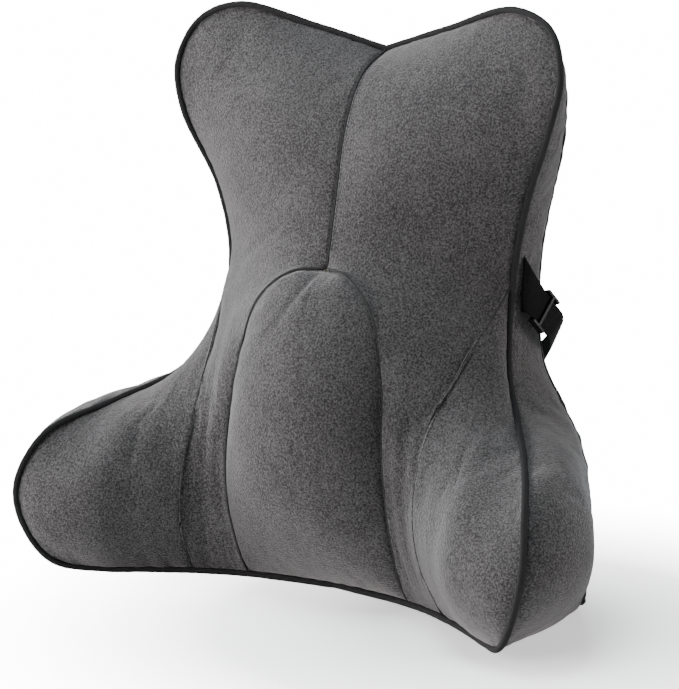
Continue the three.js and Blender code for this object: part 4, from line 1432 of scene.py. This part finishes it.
@dataclass(frozen=True)
class ClothRecipe:
    """A short cloth simulation of one panel that is sewn down along its edges.

    The cloth is cut a little larger than the panel and blown up from inside, so it swells between its
    seams and creases beside them. What it moves is then split: the broad swelling is kept to a share,
    the small creases are kept whole, and the sum is capped.
    """

    pressure: float = 4.0
    excess: float = 0.003
    frames: int = 20
    kept_swell: float = 0.2
    cap: float = 0.002
    unevenness: float = 0.0001
    broad: int = 5

    def settle(self, grid: Array, seed: int) -> Array:
        """Runs the simulation.

        Args:
            grid: the panel's points.
            seed: fixes the small unevenness that the creases start from.

        Returns:
            The settled panel's points.
        """
        chance = np.random.default_rng(seed)
        start = raised(grid, chance.normal(0, self.unevenness, grid.shape[:2]))
        held = np.ones(grid.shape[:2], bool)
        held[1:-1, 1:-1] = False
        start[held] = grid[held]
        piece = grid_object("settling", start)
        piece.vertex_groups.new(name="held").add(np.flatnonzero(held).tolist(), 1.0, "REPLACE")
        self.sew(piece)
        scene = bpy.context.scene
        for number in range(1, self.frames + 1):
            scene.frame_set(number)
        settled = piece.evaluated_get(bpy.context.evaluated_depsgraph_get()).to_mesh()
        points = np.zeros(len(settled.vertices) * 3, np.float32)
        settled.vertices.foreach_get("co", points)
        scene.frame_set(1)
        bpy.data.objects.remove(piece)
        return self.limited(grid, points.reshape(grid.shape).astype(float))

    def sew(self, piece: bpy.types.Object) -> None:
        """Gives a panel its cloth, held by its vertex group and blown up from inside.

        Args:
            piece: the panel, with a vertex group named held.
        """
        cloth = piece.modifiers.new("Cloth", "CLOTH")
        settings = cloth.settings
        settings.vertex_group_mass = "held"
        settings.quality = 6
        settings.mass = 0.25
        settings.tension_stiffness = 18
        settings.compression_stiffness = 18
        settings.shear_stiffness = 6
        settings.bending_stiffness = 0.35
        settings.air_damping = 4
        settings.use_pressure = True
        settings.uniform_pressure_force = self.pressure
        settings.shrink_min = -self.excess
        settings.effector_weights.gravity = 0
        cloth.collision_settings.use_self_collision = False
        cloth.collision_settings.use_collision = False
        cloth.point_cache.frame_end = self.frames

    def limited(self, grid: Array, settled: Array) -> Array:
        """The grid moved by the creases, a share of the swelling, and no more than the cap.

        Args:
            grid: the panel before it was settled.
            settled: the panel after it.

        Returns:
            The panel as it is kept, with its edges where they were.
        """
        moved = settled - grid
        moved = moved - (1 - self.kept_swell) * self.blurred(moved, self.broad)
        length = np.linalg.norm(moved, axis=2, keepdims=True)
        moved = moved * np.minimum(1, self.cap / np.maximum(length, 1e-9))
        moved[[0, -1]] = 0
        moved[:, [0, -1]] = 0
        return grid + moved

    @staticmethod
    def blurred(values: Array, reach: int) -> Array:
        """The mean of the values over a square of the grid, taken twice over each direction.

        Args:
            values: one vector for each point of the grid.
            reach: how many points the square reaches to each side.

        Returns:
            The means.
        """
        for axis in (0, 1, 0, 1):
            pad = [(0, 0)] * 3
            pad[axis] = (reach, reach)
            wide = np.cumsum(np.pad(values, pad, mode="edge"), axis=axis)
            count = values.shape[axis]
            ahead = np.take(wide, np.arange(count - 1) + 2 * reach + 1, axis=axis)
            behind = np.take(wide, np.arange(count - 1), axis=axis)
            mean = (ahead - behind) / (2 * reach + 1)
            first = np.take(wide, [2 * reach], axis=axis) / (2 * reach + 1)
            values = np.concatenate([first, mean], axis=axis)
        return values


@dataclass
class Cover:
    """The velvet cover: every panel a closed piece of cloth whose edges dive into its seams."""

    form: CushionForm
    finishes: Finishes
    cloth: ClothRecipe = ClothRecipe()
    loose_cloth: ClothRecipe = ClothRecipe(excess=0.007, cap=0.0025)
    thickness: float = 0.001
    tuck: float = 0.0011
    shallow: float = 0.3
    same_seam: float = 0.0006
    seam_gap: float = 0.00005
    mouth_half: float = 0.0056
    mouth: tuple[float, float] = (0.050, 0.340)
    fold_inset: float = 0.0011
    fold_radius: float = 0.0009
    fold_setback: float = 0.0008
    stitch_pitch: float = 0.0032
    stitch_length: float = 0.0024
    thread_radius: float = 0.00028
    grids: dict[str, Array] = field(default_factory=dict)

    def tucked(self, grid: Array) -> Array:
        """The grid with its rim drawn back from the seam line and sunk into the seam.

        The rim sinks to a share of the full tuck where it lies on a wing seam, which is a shallow one.

        Args:
            grid: the panel's points, in the frame.

        Returns:
            The points with their rim moved.
        """
        made = grid.copy()
        for rim, inner in ((0, 1), (-1, -2)):
            made[rim] += unit(grid[inner] - grid[rim]) * self.seam_gap
            made[:, rim] += unit(grid[:, inner] - grid[:, rim]) * self.seam_gap
        edge = np.ones(grid.shape[:2])
        edge[1:-1, 1:-1] = 0
        seam = self.form.placed(self.form.wing[:, 0])
        folded = grid * np.array([np.sign(grid[..., 0].mean()), 1, 1])
        apart = np.linalg.norm(folded[:, [0, -1], None] - seam[None, None], axis=3).min(axis=2)
        edge[:, [0, -1]] *= np.where(apart < self.same_seam, self.shallow, 1)
        return made - grid_normals(grid) * (edge * self.tuck)[..., None]

    def creased(self, grid: Array, creases: dict[str, Puckers], seed: int) -> Array:
        """The grid with puckers along the named edges.

        Args:
            grid: the panel's points.
            creases: the puckers along each edge.
            seed: fixes where they lie.

        Returns:
            The puckered panel's points.
        """
        distances = edge_distances(grid)
        height = np.zeros(grid.shape[:2])
        for number, (edge, puckers) in enumerate(creases.items()):
            height += puckers.height(*distances[edge], seed + number)
        return raised(grid, height)

    def panel(
        self, name: str, node: str, grid: Array, creases: dict[str, Puckers], seed: int,
        recipe: ClothRecipe | None = None, turned: bool = False,
    ) -> None:
        """Makes one panel of the cover.

        Args:
            name: the piece's name.
            node: the frame node that it stands for.
            grid: its points, before they are placed in the frame.
            creases: the puckers along its edges.
            seed: fixes its unevenness.
            recipe: how it is settled as cloth, or none.
            turned: whether the grid faces inwards as it stands.
        """
        grid = self.creased(self.form.placed(grid), creases, seed)
        if recipe:
            grid = recipe.settle(grid, seed)
        self.grids[name] = grid
        piece = grid_object(name, self.tucked(grid), turned)
        subdivided(piece)
        thickened(piece, self.thickness)
        dress(piece, self.finishes.velvet, "velvet", "cushion", node)

    def rear_fold_line(self) -> Array:
        """The line of the turned-in cloth inside the rear seam, all round.

        Each point of the seam is moved by fold_inset towards the front seam and as far towards the
        middle of the rear face.

        Returns:
            The line's points, in the frame.
        """
        front = self.form.outline_points()[0]
        rear = self.form.to_rear(front)
        middle = np.array([0, 0, self.form.waist_height])
        towards = unit((middle - rear) * np.array([1, 0, 1]))
        line = rear + (unit(front - rear) + towards) * self.fold_inset
        return self.form.placed(np.vstack([line, (line * TO_LEFT)[::-1][1:]]))

    def seam_folds(self) -> None:
        """The turned-in cloth at the foot of each seam: a thin dark rod."""
        form = self.form
        beside_pad = np.vstack([form.pad_shoulder, form.pad_flank[1:]])
        beside_wing = form.wing[:, 0] + np.array([0, self.fold_setback, 0])
        runs = {"fold_middle": form.middle_line}
        for side in Side:
            turn = np.array([side.value, 1, 1])
            runs[f"fold_pad_{side.word}"] = beside_pad * turn
            runs[f"fold_wing_{side.word}"] = beside_wing * turn
        lines = {name: form.placed(run) + np.array([0, self.tuck, 0]) for name, run in runs.items()}
        lines["fold_rear"] = self.rear_fold_line()
        for name, line in lines.items():
            piece = mesh_object(name, *open_tube(line, self.fold_radius, 8))
            outward(piece)
            dress(piece, self.finishes.thread, "velvet", "cushion")

    def stitches(self, name: str, grid: Array, edge: str, distance: float) -> None:
        """Makes one line of topstitching.

        Args:
            name: the piece's name.
            grid: the panel that it is sewn on.
            edge: the panel's edge that it runs beside.
            distance: how far from that edge it lies.
        """
        line, facing = beside_edge(grid, edge, distance)
        sizes = self.stitch_pitch, self.stitch_length, self.thread_radius
        piece = mesh_object(name, *stitch_run(line[2:-2], facing[2:-2], *sizes))
        outward(piece)
        dress(piece, self.finishes.thread, "piping", "cushion")

    def half(self, side: Side) -> None:
        """Makes one side's upper panel, wing, side strip and rear panel.

        Args:
            side: which half of the cushion.
        """
        form, word, seed = self.form, side.word, 10 * side.value + 50
        strip = form.strip()[: self.strip_foot() + 1]
        grids = [form.upper, form.wing, strip, form.rear_panel(self.mouth_half, self.mouth)]
        if side is Side.LEFT:
            grids = [mirrored(grid) for grid in grids]
        upper, wing, strip, rear = grids
        ends = {"top": FINE_PUCKERS, "bottom": GATHERED_PUCKERS}
        beside_welt = ends | {side.outer: SOFT_PUCKERS}
        round_wing = ends | {side.outer: FINE_PUCKERS, side.inner: SOFT_PUCKERS}
        along_strip = {side.inner: STRIP_PUCKERS, side.outer: GATHERED_PUCKERS}
        round_rear = {side.outer: REAR_PUCKERS}
        loose = self.loose_cloth
        self.panel(f"cover_front_{word}", f"front_panel_{word}", upper, beside_welt, seed, self.cloth)
        self.panel(f"cover_wing_{word}", f"wing_panel_{word}", wing, round_wing, seed + 1, self.cloth)
        self.panel(f"cover_side_{word}", f"side_strip_{word}", strip, along_strip, seed + 2, loose)
        self.panel(f"cover_back_{word}", f"back_panel_{word}", rear, round_rear, seed + 3, turned=True)

    def strip_foot(self) -> int:
        """The row of the strip at the wing's foot, where the side strip ends and the base begins."""
        return int(np.searchsorted(self.form.outline_points()[1], Mark.WING_FOOT))

    def middle(self) -> None:
        """Makes the pad and the base."""
        creases = {edge: SOFT_PUCKERS for edge in ("top", "left", "right")} | {"bottom": FINE_PUCKERS}
        self.panel("cover_pad", "lumbar_panel", self.form.pad_panel(), creases, 71, self.cloth)
        base = self.form.strip()[self.strip_foot() :]
        both = np.concatenate([base, (base * TO_LEFT)[::-1][1:]], axis=0)
        self.panel("cover_base", "base_strip", both, {}, 72)

    def build(self) -> None:
        """Makes every panel, the folds in the seams and the topstitching."""
        for side in Side:
            self.half(side)
        self.middle()
        self.seam_folds()
        for side in Side:
            wing = self.grids[f"cover_wing_{side.word}"]
            lobe = self.grids[f"cover_front_{side.word}"][: self.form.steps["side"]]
            self.stitches(f"stitches_wing_{side.word}", wing, side.inner, 0.0022)
            self.stitches(f"stitches_middle_{side.word}", lobe, side.inner, 0.0026)


@dataclass
class Welt:
    """The piping: a cloth-covered cord sewn all round the front's outer seam.

    The joins are the places, in landmarks, where two lengths of welt meet.
    """

    form: CushionForm
    finishes: Finishes
    radius: float = 0.0024
    sides: int = 18
    steps: int = 1500
    joins: tuple[float, ...] = (6.15, 9.1)
    join_depth: float = 0.00035
    join_spread: float = 0.012

    def build(self) -> None:
        """Makes the cord, a little uneven, with a shallow Gaussian groove at each join."""
        points, places = self.form.outline_points()
        left = (points * TO_LEFT)[1:-1][::-1]
        line = self.form.placed(np.vstack([points, left]))
        closed = np.vstack([line, line[:1]])
        along = travelled(closed)
        goals = np.linspace(0, along[-1], self.steps, endpoint=False)
        fine = np.stack([np.interp(goals, along, closed[:, k]) for k in range(3)], axis=1)
        past_the_end = 99
        place = np.interp(goals, along[: len(places)], places, right=past_the_end)
        size = self.radius * (1 + 0.035 * wavering(goals, 0.02, 5) + 0.02 * wavering(goals, 0.006, 6))
        for join in self.joins:
            size = size - self.join_depth * np.exp(-(((place - join) / self.join_spread) ** 2))
        grid = tube_grid(fine, size, self.sides, np.array([0.0, 1.0, 0.0]))
        turn = 2 * math.pi * self.radius * np.arange(self.sides) / self.sides
        uv = np.stack(np.broadcast_arrays(turn[None], goals[:, None]), axis=-1)
        faces = grid_faces(self.steps, self.sides, round_rows=True, round_columns=True)
        piece = mesh_object("welt_cord", grid, faces, uv)
        outward(piece)
        dress(piece, self.finishes.welt, "piping", "cushion", "piping")


@dataclass
class Filling:
    """The foam block inside the cover: the cover's own form, drawn in from it on every side."""

    form: CushionForm
    finishes: Finishes
    clearance: float = 0.0065
    thinning: int = 3
    merging: float = 0.0007

    def skin(self) -> tuple[Array, Array]:
        """Every panel of the form, with fewer points, side by side.

        Returns:
            Points and faces of all the panels.
        """
        form = self.form
        right = [form.upper, form.wing, form.strip(), form.rear_panel(0, (0, 0))[:, ::-1]]
        grids = [form.pad_panel(), *right, *[mirrored(grid) for grid in right]]
        points, faces, start = [], [], 0
        for grid in grids:
            coarse = form.placed(grid)[:: self.thinning, :: self.thinning]
            points.append(coarse.reshape(-1, 3))
            faces.append(grid_faces(*coarse.shape[:2]) + start)
            start += len(points[-1])
        return np.vstack(points), np.vstack(faces)

    def build(self) -> None:
        """Joins the skin into one closed block, moves it in and smooths it."""
        piece = mesh_object("foam_block", *self.skin())
        outward(piece, self.merging)
        inset = piece.modifiers.new("Drawn in", "DISPLACE")
        inset.mid_level = 0
        inset.strength = -self.clearance
        even = piece.modifiers.new("Evened", "SMOOTH")
        even.factor = 0.4
        even.iterations = 2
        subdivided(piece)
        dress(piece, self.finishes.foam, "foam", "cushion", "foam_core")


@dataclass
class Zip:
    """The zip down the middle of the back: tapes, teeth, stops, slider and pull."""

    finishes: Finishes
    tape_steps: int = 60
    tape_sides: int = 16
    tooth_pitch: float = 0.0026
    tooth_sides: int = 8

    def tapes(self) -> None:
        """Two woven tapes, each a thin band with rounded edges."""
        for side in Side:
            node = f"zip_tape_{side.word}"
            low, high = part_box(node)
            middles = np.empty((self.tape_steps, 3))
            middles[:, 0] = (low.x + high.x) / 2
            middles[:, 1] = (low.y + high.y) / 2
            middles[:, 2] = np.linspace(low.z, high.z, self.tape_steps)
            halves = np.tile([(high.x - low.x) / 2, 0, 0], (self.tape_steps, 1))
            band = band_grid(middles, halves, high.y - low.y, self.tape_sides)
            piece = band_object(f"tape_{side.word}", band)
            dress(piece, self.finishes.tape, "zip_tape", "cushion", node)

    def tooth(self, side: Side, low: Vector, high: Vector) -> Array:
        """One tooth: a rod of five rings from its root to a rounder tip, in the plane z = 0.

        Each ring is a circle whose sine and cosine are raised to 0.6 with their signs kept, as wide and
        as deep as the tooth is there.

        Args:
            side: the row that the tooth is in.
            low: the lowest corner of the row's box.
            high: the highest corner of the row's box.

        Returns:
            The tooth's points, ring by ring.
        """
        root, tip = (high.x, low.x) if side is Side.RIGHT else (low.x, high.x)
        reach = np.array([0.0, 0.55, 0.72, 0.95, 1.0])
        wide = np.array([0.34, 0.26, 0.36, 0.34, 0.2]) * self.tooth_pitch
        deep = np.array([0.46, 0.44, 0.5, 0.46, 0.3]) * (high.y - low.y)
        angle = band_angles(self.tooth_sides)
        y = (low.y + high.y) / 2 + deep[:, None] * squarish(np.sin(angle), 0.6)[None]
        z = wide[:, None] * squarish(np.cos(angle), 0.6)[None]
        x = np.broadcast_to(mix(root, tip, reach)[:, None], y.shape)
        return np.stack([x, y, z], axis=-1)

    def teeth(self) -> None:
        """Two rows of teeth, half a pitch apart in height."""
        for side in Side:
            node = f"zip_teeth_{side.word}"
            low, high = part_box(node)
            first = 0.25 if side is Side.RIGHT else 0.75
            count = int((high.z - low.z) / self.tooth_pitch)
            lifts = np.zeros((count, 1, 1, 3))
            lifts[:, 0, 0, 2] = low.z + (np.arange(count) + first) * self.tooth_pitch
            caps = [[0, 1, 2, 3], [0, 3, 4, 7], [4, 5, 6, 7]]
            row = rods(self.tooth(side, low, high)[None] + lifts, caps)
            piece = mesh_object(f"teeth_{side.word}", *row)
            outward(piece)
            dress(piece, self.finishes.teeth, "zip_teeth", "cushion", node)

    def metalwork(self) -> None:
        """The stops, slider and pull, with rounded edges."""
        for node, name, body, radius in (
            ("zip_stop_bottom", "stop_bottom", "cushion", 0.0005),
            ("zip_stop_top", "stop_top", "cushion", 0.0005),
            ("zip_slider", "slider", "slider", 0.00025),
            ("zip_pull", "pull_tab", "pull", 0.0005),
        ):
            dress(rounded_copy(node, name, radius), self.finishes.metal, "zip_metal", body, node)

    def build(self) -> None:
        """Makes the whole zip."""
        self.tapes()
        self.teeth()
        self.metalwork()


@dataclass
class Strap:
    """The webbing strap and its hardware.

    Each half leaves the side seam on a slant, runs through its adjuster, turns round the rear edge and
    crosses to its side of the buckle, where it wraps round a bar.
    """

    form: CushionForm
    finishes: Finishes
    width: float = 0.025
    thickness: float = 0.0014
    seam_length: float = 0.040
    seam_height: float = 0.234
    seam_out: float = 0.0046
    seam_setback: float = 0.0054
    adjuster_length: float = 0.014
    adjuster_place: float = 0.029
    adjuster_travel: float = 0.006
    buckle_back_gap: float = 0.028
    buckle_height: float = 0.130
    bar_radius: float = 0.0015
    loop_radius: float = 0.003
    loop_steps: int = 13
    crossing_steps: int = 54
    along: tuple[float, float, float] = (0.26, 0.62, -0.74)

    @property
    def buckle_y(self) -> float:
        """The setback of the webbing at the buckle, before it is placed."""
        return self.form.back_setback + self.buckle_back_gap

    def crossing(self, corner: Array, ahead: Array, loop_x: float) -> Array:
        """The stretch round the rear edge and across to the buckle's bar, as a smooth curve.

        Args:
            corner: the end of the slanted stretch.
            ahead: the slanted stretch's direction.
            loop_x: the middle of the buckle bar that the end wraps round.

        Returns:
            Evenly spaced points after the corner.
        """
        lead = 0.006
        curve = SmoothCurve([
            corner - ahead * lead,
            corner,
            corner + np.array([-0.004, 0.009, -0.007]),
            corner + np.array([-0.014, 0.023, -0.013]),
            (0.62 * self.form.waist_half_width, self.buckle_y - 0.007, self.buckle_height + 0.007),
            (loop_x + 0.034, self.buckle_y + 0.001, self.buckle_height),
            (loop_x + 0.012, self.buckle_y + 0.001, self.buckle_height),
        ])
        return curve.stretch(1, 6, self.crossing_steps)[1:]

    def wrap(self, loop_x: float) -> Array:
        """The half turn round the buckle's bar and the short end that lies back along the webbing.

        Args:
            loop_x: the middle of the bar.

        Returns:
            The points of both.
        """
        angle = np.linspace(0, math.pi, self.loop_steps)
        loop = np.stack([
            loop_x - self.loop_radius * np.sin(angle),
            self.buckle_y + self.loop_radius * np.cos(angle),
            np.full(self.loop_steps, self.buckle_height),
        ], axis=1)
        end = [(loop_x + reach, self.buckle_y - 0.0011, self.buckle_height) for reach in (0.011, 0.026)]
        return np.vstack([loop, end])

    def sections(self, loop_x: float) -> tuple[Array, Array]:
        """The right half's sections, before they are placed.

        Args:
            loop_x: the middle of the buckle bar that the end wraps round.

        Returns:
            The middles and the half-width vectors.
        """
        ahead = unit(np.array(self.along))
        face = unit(np.array([1.0, 0, 0]) - ahead * ahead[0])
        wide = np.cross(face, ahead) * self.width / 2
        upright = np.array([0, 0, self.width / 2])
        sewn = np.array([0, 0.08, 1]) * self.seam_length / 2
        start = np.array([
            self.form.waist_half_width + self.seam_out,
            self.form.waist_setback + self.seam_setback,
            self.seam_height,
        ])
        straight = self.adjuster_place - self.adjuster_length / 2 - 0.001
        end = self.adjuster_place + self.adjuster_length / 2 + self.adjuster_travel + 0.002
        distances = np.array([0, straight / 2, straight, self.adjuster_place, end])
        middles = start + ahead * distances[:, None]
        run = self.crossing(middles[-1], ahead, loop_x)
        loop = self.wrap(loop_x)
        share = smooth(np.arange(1, len(run) + 1) / len(run), 0, 0.6)[:, None]
        turned = unit(mix(wide[None], upright[None], share)) * self.width / 2
        halves = [sewn, mix(sewn, wide, 0.62), wide, wide, wide, *turned, *[upright] * len(loop)]
        return np.vstack([middles, run, loop]), np.array(halves)

    def webbing(self, side: Side, loop_x: float) -> None:
        """Makes one half of the strap: the right half is left on no body, with its placing baked into its
        mesh, and the left one rides on the cushion.

        Args:
            side: which half.
            loop_x: the middle of the buckle bar that its end wraps round.
        """
        middles, halves = self.sections(loop_x)
        middles = self.form.placed(middles)
        if side is Side.LEFT:
            middles = middles * TO_LEFT
            halves = halves * -TO_LEFT
        piece = band_object(f"webbing_{side.word}", band_grid(middles, halves, self.thickness))
        stretches = side is Side.RIGHT
        body = None if stretches else "cushion"
        dress(piece, self.finishes.webbing, "webbing", body, f"strap_{side.word}")
        if stretches:
            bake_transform(piece)

    def hardware(self, node: str, name: str, body: str, radius: float, segments: int) -> None:
        """Makes one moulded piece.

        Args:
            node: the frame node that it stands for.
            name: the piece's name.
            body: the body that it moves with.
            radius: how far its edges are rounded.
            segments: faces across each rounded edge.
        """
        piece = rounded_copy(node, name, radius, segments)
        dress(piece, self.finishes.plastic, "buckle_plastic", body, node)

    def build(self) -> None:
        """Makes both halves of the strap, the adjusters on them and the buckle."""
        plug_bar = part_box("buckle_plug")[1].x - self.bar_radius
        socket_bar = -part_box("buckle_socket")[0].x - self.bar_radius
        for side, loop_x in ((Side.RIGHT, plug_bar), (Side.LEFT, socket_bar)):
            adjuster = f"adjuster_{side.word}"
            self.webbing(side, loop_x)
            self.hardware(adjuster, f"slide_{adjuster}", adjuster, 0.0006, 3)
        self.hardware("buckle_socket", "buckle_body", "cushion", 0.0009, 4)
        self.hardware("buckle_plug", "buckle_prongs", "plug", 0.0009, 4)


# ---------------------------------------------------------------------------------------------------
# Studio
# ---------------------------------------------------------------------------------------------------


@dataclass(frozen=True)
class Studio:
    """A pale floor, soft lights and the camera."""

    azimuth: float = math.radians(35.0)
    elevation: float = 0.17
    distance: float = 1.76443
    lens: float = 125.56
    aim: tuple[float, float, float] = (0.0, 0.0139, 0.220)
    shift_right: float = -0.009394
    shift_up: float = -0.038479
    surround: float = 0.12
    floor_reach: float = 6.0
    sweep_height: float = 2.5
    floor_gap: float = 0.0004

    def camera(self) -> None:
        """Sets the camera on a ring round the cushion, looking a little down on it."""
        turn, tilt = self.azimuth, self.elevation
        ahead = Vector((-math.sin(turn) * math.cos(tilt), math.cos(turn) * math.cos(tilt), -math.sin(tilt)))
        right = Vector((math.cos(turn), math.sin(turn), 0))
        up = right.cross(ahead)
        data = bpy.data.cameras.new("camera")
        data.lens = self.lens
        data.sensor_width = 36
        camera = bpy.data.objects.new("camera", data)
        axes = Matrix((right, up, -ahead)).transposed().to_4x4()
        place = Vector(self.aim) - ahead * self.distance + right * self.shift_right + up * self.shift_up
        camera.matrix_world = Matrix.Translation(place) @ axes
        bpy.context.scene.collection.objects.link(camera)
        bpy.context.scene.camera = camera

    def light(self, name: str, place: Sequence[float], power: float, size: float, color: Color) -> None:
        """Adds one square area light that faces the cushion.

        Args:
            name: the light's name.
            place: where it stands.
            power: its power, in watts.
            size: the length of its side.
            color: its colour.
        """
        data = bpy.data.lights.new(name, "AREA")
        data.energy = power
        data.size = size
        data.color = color
        lamp = bpy.data.objects.new(name, data)
        lamp.location = place
        lamp.rotation_euler = (Vector(self.aim) - Vector(place)).to_track_quat("-Z", "Y").to_euler()
        bpy.context.scene.collection.objects.link(lamp)

    def floor(self) -> None:
        """A round floor whose outer quarter sweeps up into a backdrop, by the smooth step of its radius."""
        rings, spokes = 40, 96
        run = np.linspace(0, 1, rings)
        radius = self.floor_reach * run
        height = self.sweep_height * smooth(run, 0.75, 1.0)
        angle = 2 * math.pi * np.arange(spokes) / spokes
        grid = np.stack([
            radius[:, None] * np.cos(angle),
            radius[:, None] * np.sin(angle),
            np.broadcast_to(height[:, None], (rings, spokes)) - self.floor_gap,
        ], axis=-1)
        piece = mesh_object("floor", grid, grid_faces(rings, spokes, round_columns=True))
        piece.data.materials.append(PaleFloor().build("pale_floor"))

    def world(self) -> None:
        """A plain bright surround."""
        world = bpy.data.worlds.new("surround")
        world.use_nodes = True
        inputs = world.node_tree.nodes["Background"].inputs
        inputs["Color"].default_value = (1, 1, 1, 1)
        inputs["Strength"].default_value = self.surround
        bpy.context.scene.world = world

    def build(self) -> None:
        """Sets the stage."""
        self.camera()
        self.floor()
        self.world()
        self.light("key", (-2.4, -0.6, 0.55), 105, 1.3, (1.0, 0.98, 0.975))
        self.light("low", (-1.2, -1.6, 0.15), 72, 1.0, (1.0, 0.97, 0.96))
        self.light("fill", (2.3, 0.9, 0.3), 42, 0.8, (1.0, 0.94, 0.92))
        self.light("top", (-0.3, -0.1, 2.6), 72, 1.2, (0.86, 0.97, 1.0))


def main() -> None:
    """Builds the studio and then the cushion piece by piece."""
    logging.basicConfig(level=logging.INFO, format="%(message)s")
    finishes = Finishes()
    form = CushionForm()
    Studio().build()
    Cover(form, finishes).build()
    Welt(form, finishes).build()
    Filling(form, finishes).build()
    Zip(finishes).build()
    Strap(form, finishes).build()


if __name__ == "__main__":
    main()
